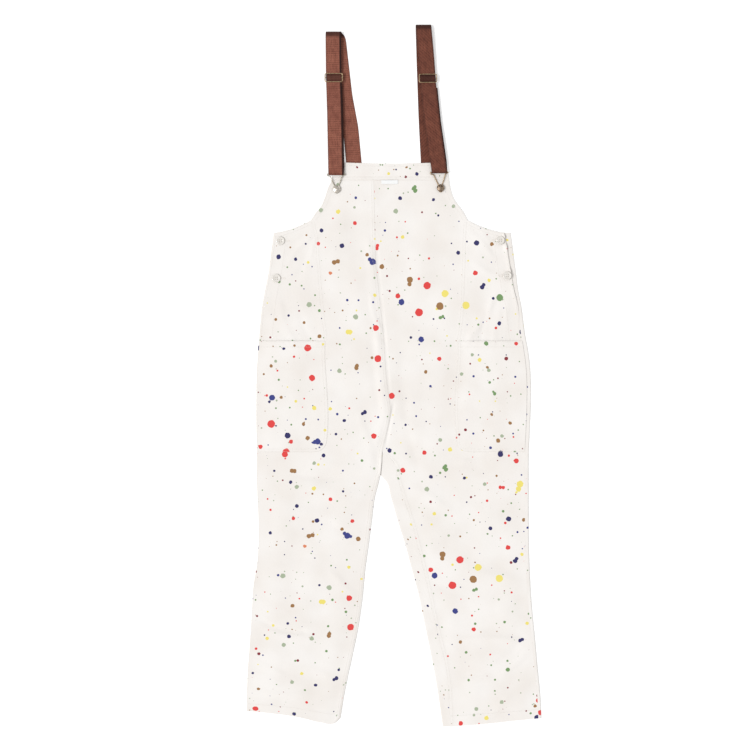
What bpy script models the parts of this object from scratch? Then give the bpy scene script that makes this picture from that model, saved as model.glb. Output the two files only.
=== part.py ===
"""Bib overalls in spattered cotton, laid flat on their back with the front up.

The garment lies on the plane Z = 0, its hems towards -Y and its shoulder straps towards +Y. "Left" is -X.
Each panel is a wall of cloth: a middle surface worked out from a few edge curves, given a thickness.
The back lies on the floor, rolls up round the outer folds, and meets the front panels a little above it.
All sizes are in metres.
"""

import math

import bmesh
import bpy
import numpy as np

# ---------------------------------------------------------------- driving sizes
CLOTH = 0.0010  # thickness of the cotton
BAND_CLOTH = 0.0020  # the folded band along the top of the bib
GAP = 0.0003  # between neighbouring pieces
SEAM = GAP / 2  # each panel stops this far short of a seam line
FOLD_R = 0.00115  # middle of the cloth, round an outer fold

FLOOR_Z = CLOTH / 2  # middle of the back panel where it rests
SEAM_Z = FLOOR_Z + 2 * FOLD_R  # middle of the cloth where the back has rolled over to the front
PUFF_Z = 0.0042  # middle of the front cloth away from its edges
EDGE_FALL = 0.030  # how far in from an edge the front has risen to PUFF_Z

HEM_Y = -0.804  # mean level of the two hems
KNEE_Y = -0.618  # below this the hem's own shape grows
BIB_TOP_Y = 0.497
BAND_SEAM_Y = 0.456
CORNER_Y = 0.3620  # the armhole passes from the front to the side panel here
UNDERARM_Y = 0.3325  # top of the side opening
UNDERARM_SAG = 0.018  # dip of the armhole's edge between its two corners
SECOND_SAG = 0.012  # and of the side panel's next row
POCKET_TOP_Y = 0.081
POCKET_BOTTOM_Y = -0.1775
POCKET_ROUNDING = (0.014, 0.001)  # the inner lower corner and the point above it move in this far
POCKET_LIFT = CLOTH + GAP + 0.00005  # over the garment's surface
STEP_Y = 0.0415  # the side panel ends here, under the pocket
STAND_LAP = 0.025  # button stand of the back, hidden under the side opening
STAND_END_Y = 0.1676  # the stand ends here
CROTCH_Y = -0.2315
CROSSING_Y = -0.1775  # the seams cross here, on the front
FLAP_TIP = 0.0006  # the right back's tip there lies this far from the centre front

STRAP_W = 0.036
STRAP_T = 0.0014
STRAP_Z = STRAP_T / 2
ON_BACK_Z = CLOTH + GAP + STRAP_T / 2  # middle of the strap where it lies on the back
STRAP_ENDS = (0.352, 0.3835, 0.410)  # its end, the top of the back, and where it has come down to the floor
SHOULDER_R = 0.0055  # fold of the strap at the shoulder
CLASP_Z = 0.0094  # middle of the clasp's top bar
SLIDER_Z = 0.0112
WIRE_R = 0.0011
BAR_R = WIRE_R + GAP + STRAP_T / 2  # middle of the strap, round a bar
SLIDER_HALF = 0.0095  # from the middle bar to an outer bar
SLIDER_CORNER = 0.0035
SLIDER_SPARE = 0.0010  # between the webbing's edge and the slider's side
WEAVE = WIRE_R + GAP + STRAP_T / 2 + 0.0001  # strap's rise over the middle bar, and drop under the others
LEAD = 0.006  # the strap comes level this far before the slider
TAIL_END = 0.012  # the strap's end stops this far below the slider
TAIL_DROP = STRAP_T + GAP + 0.0004  # middle of the tail, below the run that covers it
TAIL_SHARE = 0.2  # part of the tail that rises to TAIL_DROP

TACK_R = 0.0088
TACK_SHANK_R = 0.0032
TACK_CLEAR = 2 * WIRE_R + 0.0010  # the cap's underside, above the cloth
WIRE_CLEAR = 0.0003  # the clasp's wire, above the cloth
BUTTON_R = 0.0100
BUTTON_T = 0.0028
HOLE_R = 0.0011
HOLE_OUT = 0.0022  # each hole, from the button's middle both ways

FRONT_COLUMNS = 5  # from the centre front to the panel seam
PANEL_COLUMNS = 4  # from the panel seam to the side
BAND_COLUMNS = 12
FOLD_STEPS = 3  # facets round an outer fold
WRAP_COLUMNS = 2  # from an outer fold to its seam on the front
FLOOR_COLUMNS = 5  # across the floor

# ---------------------------------------------------------------- edge curves, each row (y, x)
CENTRE_FRONT = (
    (0.4560, -0.0455), (0.3325, -0.0425), (0.2650, -0.0410), (0.2000, -0.0340), (0.0810, -0.0220),
    (-0.0100, -0.0155), (-0.0565, -0.0095), (-0.0775, -0.0060), (-0.1030, -0.0090), (-0.1405, -0.0180),
    (-0.1775, -0.0265), (-0.2030, -0.0282), (-0.2315, -0.0312),
)
CENTRE_BACK = ((0.3815, -0.0060), (0.0810, -0.0080), (-0.1200, -0.0180), (-0.2315, -0.0310))
SIDE = {
    "left": (
        (0.3325, -0.2800), (0.3050, -0.2835), (0.2700, -0.2880), (0.2350, -0.2930), (0.2000, -0.3000),
        (0.1650, -0.3065), (0.0950, -0.3135), (0.0250, -0.3185), (-0.2195, -0.3195), (-0.4500, -0.3205),
        (-0.4875, -0.3270), (-0.5480, -0.3310), (-0.6320, -0.3365), (-0.7020, -0.3410), (-0.8040, -0.3437),
    ),
    "right": (
        (0.3325, 0.2720), (0.3050, 0.2760), (0.2700, 0.2805), (0.2350, 0.2850), (0.2000, 0.2895),
        (0.1650, 0.2965), (0.0950, 0.3060), (0.0600, 0.3125), (-0.2195, 0.3140), (-0.4500, 0.3165),
        (-0.5225, 0.3205), (-0.6180, 0.3295), (-0.6740, 0.3345), (-0.7575, 0.3420), (-0.8040, 0.3437),
    ),
}
# Inner fold of each leg, from the crotch to the hem.
INNER = {
    "left": (
        (-0.2315, -0.0313), (-0.2450, -0.0340), (-0.2825, -0.0435), (-0.3385, -0.0510), (-0.3940, -0.0580),
        (-0.4500, -0.0660), (-0.5225, -0.0730), (-0.5900, -0.0830), (-0.6460, -0.0945), (-0.7020, -0.1065),
        (-0.7575, -0.1170), (-0.8040, -0.1240),
    ),
    "right": (
        (-0.2315, -0.0307), (-0.2450, -0.0185), (-0.2825, -0.0070), (-0.3385, 0.0090), (-0.3940, 0.0265),
        (-0.4500, 0.0415), (-0.5060, 0.0565), (-0.5620, 0.0685), (-0.6180, 0.0800), (-0.6740, 0.0915),
        (-0.7300, 0.1020), (-0.8040, 0.1140),
    ),
}
# Inseam: the back's leg rolls over its inner fold as far as this.
INSEAM = {
    "left": (
        (-0.2315, -0.0342), (-0.2450, -0.0369), (-0.2825, -0.0464), (-0.3385, -0.0539), (-0.3940, -0.0609),
        (-0.4500, -0.0689), (-0.5225, -0.0759), (-0.5900, -0.0859), (-0.6460, -0.0974), (-0.7020, -0.1094),
        (-0.7575, -0.1199), (-0.8040, -0.1269),
    ),
    "right": (
        (-0.1775, -0.0255), (-0.2030, 0.0010), (-0.2360, 0.0080), (-0.2825, 0.0220), (-0.3385, 0.0400),
        (-0.3940, 0.0550), (-0.4500, 0.0690), (-0.5060, 0.0815), (-0.5620, 0.0935), (-0.6180, 0.1070),
        (-0.6740, 0.1200), (-0.7300, 0.1275), (-0.8040, 0.1305),
    ),
}
# Free edge of the bib, then the curved seam between the front and its side panel.
ARMHOLE = {
    "left": (
        (0.4560, -0.1440), (0.4375, -0.1530), (0.4095, -0.1625), (0.3910, -0.1715), (0.3815, -0.1800),
        (0.3620, -0.1930),
    ),
    "right": (
        (0.4560, 0.1285), (0.4375, 0.1315), (0.4095, 0.1410), (0.3910, 0.1545), (0.3815, 0.1615),
        (0.3620, 0.1715),
    ),
}
PANEL_SEAM = {
    "left": (
        (0.3620, -0.1930), (0.3235, -0.1850), (0.2650, -0.1800), (0.2000, -0.1750), (0.1300, -0.1680),
        (0.0810, -0.1620), (0.0415, -0.1600), (-0.1775, -0.1600), (-0.2360, -0.1750), (-0.8040, -0.2350),
    ),
    "right": (
        (0.3620, 0.1715), (0.3235, 0.1685), (0.2650, 0.1675), (0.2000, 0.1650), (0.1300, 0.1615),
        (0.0810, 0.1550), (0.0415, 0.1490), (-0.1775, 0.1490), (-0.2360, 0.1600), (-0.8040, 0.2350),
    ),
}
# How far the back shows on the front, from the outer fold to the side opening or the side seam.
BACK_SHOWS = {
    "left": ((0.3325, 0.0026), (-0.8040, 0.0026)),
    "right": ((0.3325, 0.0150), (0.2350, 0.0115), (0.1650, 0.0080), (0.0600, 0.0100), (-0.8040, 0.0070)),
}
# Hem below its mean level: (part of the way from the inner to the outer edge, drop).
HEM_DROP = {
    "left": (
        (0.0, -0.0075), (0.05, 0.0035), (0.20, 0.0025), (0.42, -0.0085), (0.74, -0.0185), (1.0, -0.0235),
    ),
    "right": ((0.0, 0.0130), (0.44, 0.0050), (0.77, -0.0020), (1.0, -0.0065)),
}
BIB_CORNERS = (-0.1345, 0.1225)
BIB_DIP = 0.0035

# Levels that every panel shares, so that neighbours meet point to point.
FRONT_LEVELS = (
    0.4557, 0.4285, 0.3955, 0.3620, 0.3325, 0.3000, 0.2650, 0.2325, 0.2000, 0.1675, 0.1300, 0.0810,
    0.0415, -0.0100, -0.0565, -0.1030, -0.1405, -0.1775, -0.2030, -0.2360, -0.2825, -0.3385, -0.3940,
    -0.4500, -0.5060, -0.5620, -0.6180, -0.6740, -0.7300, -0.7800, -0.8040,
)
# Where the back's rows lie on its inner fold, for each front level from the crossing down.
BACK_INNER = (CROTCH_Y, -0.2450, -0.2650, -0.2980, -0.3430)
BACK_SEAM = (-0.0900, -0.1600, -0.2280)  # and on the centre back, for the last levels above it
BACK_TOP = ((0.3815, 0.1180), (0.3535, 0.1600), (0.3325, 0.2150))  # (y, half width) of its free top

# Main folds of the front: (x, y) to (x, y), half width, height (a trough is below zero).
FRONT_FOLDS = (
    (-0.012, -0.010, -0.010, -0.120, 0.022, 0.0007),
    (0.080, -0.020, 0.110, -0.190, 0.030, 0.0006),
    (0.200, 0.150, 0.170, 0.060, 0.022, 0.0006),
    (-0.210, -0.240, -0.090, -0.235, 0.026, -0.0006),
    (-0.300, -0.450, -0.190, -0.430, 0.028, 0.0006),
    (0.255, -0.130, 0.240, -0.010, 0.024, 0.0005),
    (0.110, -0.620, 0.280, -0.615, 0.030, 0.0006),
    (-0.110, 0.300, -0.060, 0.120, 0.030, 0.0005),
)

# Height of the front's middle along its outer edge: free at the armhole, above the button stand at the
# side opening, level with the rolled back at the side seam. Rows are (y, z).
OUTER_Z = (
    (0.4970, 0.0026), (0.4285, 0.0026), (0.3815, 0.0030), (0.3620, 0.0034), (0.3325, 0.0042),
    (0.1675, 0.0042), (0.1300, SEAM_Z), (-0.8040, SEAM_Z),
)
# The same along the centre front, then along the inseam.
INNER_Z = (
    (0.4970, PUFF_Z), (-0.1030, PUFF_Z), (-0.1405, 0.0038), (-0.1775, SEAM_Z), (-0.8040, SEAM_Z),
)

# ---------------------------------------------------------------- label, straps, clasp and buttons
LABEL = {"x": (-0.0285, 0.0095), "y": (0.4550, 0.4465)}
LABEL_LIFT = CLOTH + GAP + 0.0001  # over the bib
# Middle line of each strap in plan, rows (y, x): the back run lies on the floor, the front run above it.
STRAP = {
    "left": {
        "fold_y": 0.8010,
        "back": (
            (0.8010, -0.1405), (0.7900, -0.1300), (0.6545, -0.1145), (0.5795, -0.1005), (0.5005, -0.0930),
            (0.3515, -0.0840),
        ),
        "front": ((0.8010, -0.1405), (0.6940, -0.1395), (0.6195, -0.1370), (0.4750, -0.1340)),
        "slider_y": 0.6930,
        "clasp_y": 0.4690,
        "tack": (-0.1325, 0.4340),
    },
    "right": {
        "fold_y": 0.8170,
        "back": ((0.8170, 0.0690), (0.7290, 0.0715), (0.6005, 0.0760), (0.5030, 0.0810), (0.3515, 0.0880)),
        "front": (
            (0.8170, 0.0690), (0.7430, 0.0760), (0.6800, 0.0805), (0.5915, 0.0895), (0.5050, 0.1020),
            (0.4750, 0.1060),
        ),
        "slider_y": 0.6915,
        "clasp_y": 0.4735,
        "tack": (0.1090, 0.4370),
    },
}
# Half of the clasp's outline, rows (across, down from the top bar).
CLASP = (
    (0.0, 0.0), (0.0190, 0.0), (0.0201, -0.0008), (0.0204, -0.0032), (0.0160, -0.0110), (0.0080, -0.0205),
    (0.0048, -0.0252), (0.0050, -0.0330), (0.0042, -0.0385), (0.0, -0.0412),
)
CLASP_GRIP = 7  # the row of the clasp that lies level with the tack button
CLASP_FALL = 1.25  # the clasp has come down to the cloth this much before its grip
# Name, side and place (x, y) of each side button.
SIDE_BUTTONS = (
    ("left_upper", "left", -0.2635, 0.3140),
    ("left_lower", "left", -0.2730, 0.2270),
    ("right_upper", "right", 0.2480, 0.3150),
    ("right_lower", "right", 0.2640, 0.2330),
)

# ---------------------------------------------------------------- colours
COTTON = (0.90, 0.88, 0.84)
WEBBING = (0.25, 0.10, 0.06)
BRASS = (0.55, 0.38, 0.20)
BRONZE = (0.36, 0.27, 0.19)
PEARL = (0.88, 0.87, 0.83)
LABEL_WHITE = (0.95, 0.95, 0.94)


# ---------------------------------------------------------------- helpers
def material(name, colour, roughness, metallic=0.0):
    """A Principled material of one colour, made once."""
    found = bpy.data.materials.get(name)
    if found:
        return found
    made = bpy.data.materials.new(name)
    made.use_nodes = True
    shader = made.node_tree.nodes["Principled BSDF"]
    shader.inputs["Base Color"].default_value = (*colour, 1.0)
    shader.inputs["Roughness"].default_value = roughness
    shader.inputs["Metallic"].default_value = metallic
    made.diffuse_color = (*colour, 1.0)
    return made


def add(name, vertices, faces, look):
    """One closed mesh object, its faces turned outwards, smooth but for its sharp edges."""
    mesh = bpy.data.meshes.new(name)
    mesh.from_pydata([tuple(map(float, vertex)) for vertex in vertices], [], faces)
    work = bmesh.new()
    work.from_mesh(mesh)
    bmesh.ops.recalc_face_normals(work, faces=work.faces)
    work.to_mesh(mesh)
    work.free()
    mesh.shade_smooth()
    mesh.set_sharp_from_angle(angle=math.radians(40))
    mesh.materials.append(look)
    made = bpy.data.objects.new(name, mesh)
    bpy.context.scene.collection.objects.link(made)
    return made


def read(curve, y):
    """x of an edge curve, whose rows are (y, x) from the top down, at the levels y."""
    rows = np.array(curve)[::-1]
    return np.interp(y, rows[:, 0], rows[:, 1])


def wall(name, middle, kept, thickness, look):
    """A wall of cloth about a grid of middle points, rows by columns by xyz.

    Only the cells marked in `kept` are cloth. Each point moves half the thickness both ways along its
    normal, and a strip of faces closes the wall round the border of the kept cells.
    """
    rows, columns = middle.shape[:2]
    across = middle[:-1, 1:] - middle[1:, :-1]
    along = middle[:-1, :-1] - middle[1:, 1:]
    cell_normal = np.cross(along, across)
    cell_normal[~kept] = 0.0
    normal = np.zeros_like(middle)
    for down, right in ((0, 0), (0, 1), (1, 0), (1, 1)):
        normal[down : rows - 1 + down, right : columns - 1 + right] += cell_normal
    length = np.linalg.norm(normal, axis=2, keepdims=True)
    normal /= np.where(length > 0, length, 1.0)
    top = middle + normal * thickness / 2
    bottom = middle - normal * thickness / 2

    index = -np.ones((rows, columns), int)
    used = np.zeros((rows, columns), bool)
    for down, right in ((0, 0), (0, 1), (1, 0), (1, 1)):
        used[down : rows - 1 + down, right : columns - 1 + right] |= kept
    index[used] = np.arange(used.sum())
    count = int(used.sum())
    vertices = np.concatenate([top[used], bottom[used]])

    faces = []
    sides = {}
    for row, column in zip(*np.nonzero(kept)):
        below = row + 1
        right = column + 1
        ring = [index[row, column], index[below, column], index[below, right], index[row, right]]
        faces.append(tuple(ring))
        faces.append(tuple(count + corner for corner in reversed(ring)))
        for start, end in zip(ring, ring[1:] + ring[:1]):
            if sides.pop((end, start), None) is None:
                sides[(start, end)] = True
    faces += [(end, start, count + start, count + end) for start, end in sides]
    return add(name, vertices, [tuple(map(int, face)) for face in faces], look)


def lathe(name, profile, centre, look, sides=24):
    """A turned piece about +Z: the profile's rows are (radius, height), with the axis at both ends."""
    turns = np.linspace(0, 2 * math.pi, sides, endpoint=False)
    ring_rows = profile[1:-1]
    vertices = [(centre[0], centre[1], centre[2] + profile[0][1])]
    for radius, height in ring_rows:
        for turn in turns:
            x = centre[0] + radius * math.cos(turn)
            y = centre[1] + radius * math.sin(turn)
            vertices.append((x, y, centre[2] + height))
    vertices.append((centre[0], centre[1], centre[2] + profile[-1][1]))
    last = len(vertices) - 1
    faces = []
    for step in range(sides):
        after = (step + 1) % sides
        faces.append((0, 1 + after, 1 + step))
        for ring in range(len(ring_rows) - 1):
            low = 1 + ring * sides
            high = low + sides
            faces.append((low + step, low + after, high + after, high + step))
        top = 1 + (len(ring_rows) - 1) * sides
        faces.append((top + step, top + after, last))
    return add(name, vertices, faces, look)


def tube(name, points, radius, look, closed=True, sides=8):
    """Round wire along a path: a ring of points about each path point, square to the path."""
    points = np.array(points)
    if closed:
        along = np.roll(points, -1, axis=0) - np.roll(points, 1, axis=0)
    else:
        along = np.gradient(points, axis=0)
    along /= np.linalg.norm(along, axis=1, keepdims=True)
    side = np.cross(along, (0.0, 0.0, 1.0))
    side /= np.linalg.norm(side, axis=1, keepdims=True)
    up = np.cross(side, along)
    turns = np.linspace(0, 2 * math.pi, sides, endpoint=False)
    circle = np.cos(turns)[None, :, None] * side[:, None] + np.sin(turns)[None, :, None] * up[:, None]
    rings = (points[:, None] + radius * circle).reshape(-1, 3)
    count = len(points)
    faces = []
    for step in range(count if closed else count - 1):
        here = step * sides
        there = ((step + 1) % count) * sides
        for turn in range(sides):
            after = (turn + 1) % sides
            faces.append((here + turn, there + turn, there + after, here + after))
    if not closed:
        faces.append(tuple(range(sides)))
        faces.append(tuple((count - 1) * sides + turn for turn in reversed(range(sides))))
    return add(name, rings, faces, look)


def join_by_union(base, other):
    """Boolean union of another solid into the base, which keeps its name."""
    union = base.modifiers.new("join", "BOOLEAN")
    union.operation = "UNION"
    union.object = other
    other.hide_render = True
    other.display_type = "WIRE"


# ---------------------------------------------------------------- heights of the front
def fold_height(x, y):
    """Sum of the main folds: each a smooth bump across a straight crest, fading past its ends."""
    total = np.zeros(np.broadcast(x, y).shape)
    for x0, y0, x1, y1, half_width, height in FRONT_FOLDS:
        run = math.hypot(x1 - x0, y1 - y0)
        along = ((x - x0) * (x1 - x0) + (y - y0) * (y1 - y0)) / run
        across = ((x - x0) * (y1 - y0) - (y - y0) * (x1 - x0)) / run
        past = np.maximum(0, np.maximum(-along, along - run))
        total = total + height * np.exp(-((across / half_width) ** 2) - (past / half_width) ** 2)
    return total


def front_outer(side, y):
    """x of the front's outer edge: the armhole, then the side opening, then the side seam."""
    sign = -1 if side == "left" else 1
    open_edge = read(ARMHOLE[side], y)
    lower_edge = read(SIDE[side], y) - sign * read(BACK_SHOWS[side], y)
    corner = ARMHOLE[side][-1][1]
    underarm = read(SIDE[side], UNDERARM_Y) - sign * read(BACK_SHOWS[side], UNDERARM_Y)
    share = np.clip((CORNER_Y - y) / (CORNER_Y - UNDERARM_Y), 0, 1)
    rounding = corner + (underarm - corner) * share
    return np.where(y >= CORNER_Y, open_edge, np.where(y >= UNDERARM_Y, rounding, lower_edge))


def front_inner(side, y):
    """x of the front's inner edge: the centre front down to the crossing, then the inseam."""
    crossing = CROSSING_Y if side == "right" else CROTCH_Y
    return np.where(y >= crossing, read(CENTRE_FRONT, y), read(INSEAM[side], y))


def front_z(side, x, y):
    """Height of the front's middle: PUFF_Z inside, brought down to its edges over EDGE_FALL."""
    from_inner = (x - front_inner(side, y)) / EDGE_FALL
    from_outer = (x - front_outer(side, y)) / EDGE_FALL
    inner_share = np.exp(-(from_inner**2))
    outer_share = np.exp(-(from_outer**2))
    inside = PUFF_Z + fold_height(x, y) * (1 - inner_share * (y < CROSSING_Y)) * (1 - outer_share)
    z = inside + (read(INNER_Z, y) - PUFF_Z) * inner_share
    return z + (read(OUTER_Z, y) - PUFF_Z) * outer_share


def hem_shift(side, part, y):
    """How far a point hangs below its level, growing from nothing at the knee to the hem's own shape."""
    rows = np.array(HEM_DROP[side])
    drop = np.interp(part, rows[:, 0], rows[:, 1])
    share = np.clip((KNEE_Y - y) / (KNEE_Y - HEM_Y), 0, 1)
    return drop * share**2


# ---------------------------------------------------------------- cloth pieces
def front_grid(side):
    """Plan of one side's whole front, as x and y: rows at the shared levels, columns from centre to side."""
    sign = -1 if side == "left" else 1
    y = np.array(FRONT_LEVELS)
    inner = front_inner(side, y) + sign * SEAM
    if side == "right":
        inner[y == CROSSING_Y] += FLAP_TIP + SEAM
    outer = front_outer(side, y) - sign * SEAM
    seam = np.where(y >= CORNER_Y, outer, read(PANEL_SEAM[side], y))
    to_seam = np.linspace(0, 1, FRONT_COLUMNS + 1)
    to_side = np.linspace(0, 1, PANEL_COLUMNS + 1)[1:]
    x = np.concatenate(
        [
            inner[:, None] + (seam - inner)[:, None] * to_seam,
            seam[:, None] + (outer - seam)[:, None] * to_side,
        ],
        axis=1,
    )
    return x, np.repeat(y[:, None], x.shape[1], axis=1)


def lifted(side, x, y, lift=0.0):
    """Middle surface over a plan grid, moved up by `lift`, with the hem's drop."""
    z = front_z(side, x, y) + lift
    part = (x - front_inner(side, y)) / (front_outer(side, y) - front_inner(side, y))
    return np.stack([x, y - hem_shift(side, np.clip(part, 0, 1), y), z], axis=2)


def make_front(side, look):
    """Main front: bib to hem, with a step under the pocket where the side panel takes over."""
    sign = -1 if side == "left" else 1
    x, y = front_grid(side)
    step = FRONT_LEVELS.index(STEP_Y)
    above = y[:, 0] > STEP_Y
    x[above, FRONT_COLUMNS] -= sign * SEAM
    y[step, FRONT_COLUMNS + 1 :] -= SEAM
    kept = np.ones((x.shape[0] - 1, x.shape[1] - 1), bool)
    kept[:step, FRONT_COLUMNS:] = False
    return wall(f"front_{side}", lifted(side, x, y), kept, CLOTH, look)


def make_side_panel(side, look):
    """Side panel: from the armhole to under the pocket, and from the panel seam to the side opening."""
    sign = -1 if side == "left" else 1
    x, y = front_grid(side)
    first = FRONT_LEVELS.index(CORNER_Y)
    last = FRONT_LEVELS.index(STEP_Y)
    x = x[first : last + 1, FRONT_COLUMNS:].copy()
    y = y[first : last + 1, FRONT_COLUMNS:].copy()
    part = np.linspace(0, 1, PANEL_COLUMNS + 1)
    corner = front_outer(side, UNDERARM_Y) - sign * SEAM
    x[0] = x[0, 0] + (corner - x[0, 0]) * part
    y[0] = CORNER_Y + (UNDERARM_Y - CORNER_Y) * part - UNDERARM_SAG * part * (1 - part)
    y[1] = y[1, 0] - SECOND_SAG * part
    x[:, 0] += sign * SEAM
    y[-1] += SEAM
    z = front_z(side, x, np.minimum(y, CORNER_Y))
    z[0] = np.interp(part, (0, 1), (z[0, 0], PUFF_Z))
    middle = np.stack([x, y, z], axis=2)
    kept = np.ones((x.shape[0] - 1, PANEL_COLUMNS), bool)
    return wall(f"side_panel_{side}", middle, kept, CLOTH, look)


def make_pocket(side, look):
    """Patch pocket lying on the front and the side panel, its inner lower corner rounded."""
    sign = -1 if side == "left" else 1
    x, y = front_grid(side)
    first = FRONT_LEVELS.index(POCKET_TOP_Y)
    last = FRONT_LEVELS.index(POCKET_BOTTOM_Y)
    rows = slice(first, last + 1)
    x = x[rows, FRONT_COLUMNS:].copy()
    y = y[rows, FRONT_COLUMNS:].copy()
    x[0, 0] = read(PANEL_SEAM[side], STEP_Y)
    middle = lifted(side, x, y, POCKET_LIFT)
    middle[-1, 0, 0] += sign * POCKET_ROUNDING[0]
    middle[-2, 0, 0] += sign * POCKET_ROUNDING[1]
    kept = np.ones((x.shape[0] - 1, PANEL_COLUMNS), bool)
    return wall(f"pocket_{side}", middle, kept, CLOTH, look)


def make_bib_band(look):
    """Folded band along the top of the bib, in one piece from armhole to armhole."""
    part = np.linspace(0, 1, BAND_COLUMNS + 1)
    low_ends = (front_outer("left", BAND_SEAM_Y), front_outer("right", BAND_SEAM_Y))
    low = low_ends[0] + (low_ends[1] - low_ends[0]) * part
    high = BIB_CORNERS[0] + (BIB_CORNERS[1] - BIB_CORNERS[0]) * part
    top_y = BIB_TOP_Y - BIB_DIP * np.sin(math.pi * part)
    rows = []
    for share in (0.0, 0.5, 1.0):
        x = high + (low - high) * share
        y = top_y + (BAND_SEAM_Y + GAP - top_y) * share
        from_edge = np.minimum(x - x[0], x[-1] - x) / EDGE_FALL
        z = PUFF_Z + (OUTER_Z[0][1] - PUFF_Z) * np.exp(-(from_edge**2))
        rows.append(np.stack([x, y, z], axis=1))
    kept = np.ones((2, len(part) - 1), bool)
    return wall("bib_band", np.array(rows), kept, BAND_CLOTH, look)


def make_back(side, look):
    """Back of one side: flat on the floor, rolled over the outer fold and, on the leg, the inner fold.

    The columns run from the inseam on the front, round the inner fold, across the floor, round the outer
    fold and on to the side seam. Above the crotch the inner roll is left out, above the side opening the
    outer one.
    """
    sign = -1 if side == "left" else 1
    crossing = FRONT_LEVELS.index(CROSSING_Y)
    top_rows = len(BACK_TOP) - 1
    first = FRONT_LEVELS.index(UNDERARM_Y)
    outer_y = np.array([row[0] for row in BACK_TOP[:top_rows]] + list(FRONT_LEVELS[first:]))
    inner_y = outer_y.copy()
    crotch_row = top_rows + crossing - first
    inner_y[crotch_row : crotch_row + len(BACK_INNER)] = BACK_INNER
    inner_y[crotch_row - len(BACK_SEAM) : crotch_row] = BACK_SEAM

    half = FOLD_R + CLOTH / 2
    side_x = read(SIDE[side], outer_y)
    side_x[:top_rows] = sign * np.array([row[1] for row in BACK_TOP[:top_rows]])
    turn = np.linspace(0, math.pi, FOLD_STEPS + 1)

    # outer fold: from the floor up and over
    lap = np.where(outer_y >= STAND_END_Y, STAND_LAP, 0.0)
    seam_line = side_x - sign * (read(BACK_SHOWS[side], outer_y) + lap)
    outer_end = seam_line + sign * SEAM
    outer_centre = side_x - sign * half
    outer_floor = np.where(np.arange(len(outer_y)) < top_rows, side_x, outer_centre)
    outer_arc_x = outer_centre[:, None] + sign * FOLD_R * np.sin(turn)
    wrap = np.linspace(0, 1, WRAP_COLUMNS + 1)[1:]
    outer_wrap = outer_centre[:, None] + (outer_end - outer_centre)[:, None] * wrap

    # inner fold: from the inseam, over and down to the floor
    leg = np.arange(len(outer_y)) >= crotch_row
    fold_x = np.where(leg, read(INNER[side], inner_y), read(CENTRE_BACK, inner_y) + sign * SEAM)
    inner_centre = fold_x + sign * half
    inner_floor = np.where(leg, inner_centre, fold_x)
    end_y = np.where(leg & (side == "right"), outer_y, inner_y)
    inner_end = read(INSEAM[side], end_y) - sign * SEAM
    if side == "right":
        inner_end[crotch_row] = read(CENTRE_FRONT, CROSSING_Y) + FLAP_TIP
    inner_arc_x = inner_centre[:, None] - sign * FOLD_R * np.sin(turn)
    unroll = np.linspace(1, 0, WRAP_COLUMNS + 1)[:-1]
    inner_wrap = inner_centre[:, None] + (inner_end - inner_centre)[:, None] * unroll
    inner_wrap_y = inner_y[:, None] + (end_y - inner_y)[:, None] * unroll

    across = np.linspace(0, 1, FLOOR_COLUMNS + 1)[1:-1]
    floor = inner_floor[:, None] + (outer_floor - inner_floor)[:, None] * across
    floor_y = inner_y[:, None] + (outer_y - inner_y)[:, None] * across

    x = np.concatenate([inner_wrap, inner_arc_x[:, ::-1], floor, outer_arc_x, outer_wrap], axis=1)
    inner_ys = np.repeat(inner_y[:, None], FOLD_STEPS + 1, axis=1)
    outer_ys = np.repeat(outer_y[:, None], FOLD_STEPS + 1 + WRAP_COLUMNS, axis=1)
    y = np.concatenate([inner_wrap_y, inner_ys, floor_y, outer_ys], axis=1)
    rolled = np.full(WRAP_COLUMNS, SEAM_Z)
    arc_z = FLOOR_Z + FOLD_R * (1 - np.cos(turn))
    flat = np.full(floor.shape[1], FLOOR_Z)
    z = np.concatenate([rolled, arc_z[::-1], flat, arc_z, rolled])
    z = np.repeat(z[None], len(outer_y), axis=0)

    roll = WRAP_COLUMNS + FOLD_STEPS
    kept = np.ones((len(outer_y) - 1, x.shape[1] - 1), bool)
    kept[:crotch_row, :roll] = False
    kept[:top_rows, -roll:] = False
    # The free floor edges sit on the grid's own fold columns.
    body = np.arange(len(outer_y)) < crotch_row
    x[body, roll] = fold_x[body]
    plain = np.arange(len(outer_y)) < top_rows
    x[plain, -roll - 1] = side_x[plain]
    part = (x - fold_x[:, None]) / (side_x - fold_x)[:, None]
    y = y - hem_shift(side, np.clip(part, 0, 1), y)
    return wall(f"back_{side}", np.stack([x, y, z], axis=2), kept, CLOTH, look)


def make_label(look):
    """Bare woven label hanging from the band's seam, flat on the bib."""
    x = np.linspace(*LABEL["x"], 3)
    y = np.array(LABEL["y"])
    grid_x, grid_y = np.meshgrid(x, y)
    z = np.full(grid_x.shape, PUFF_Z + LABEL_LIFT)
    kept = np.ones((1, len(x) - 1), bool)
    return wall("label", np.stack([grid_x, grid_y, z], axis=2), kept, CLOTH, look)


# ---------------------------------------------------------------- straps and their hardware
def smooth(start, end, count):
    """Heights easing from start to end, flat at both."""
    share = np.linspace(0, 1, count)
    return start + (end - start) * share * share * (3 - 2 * share)


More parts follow.
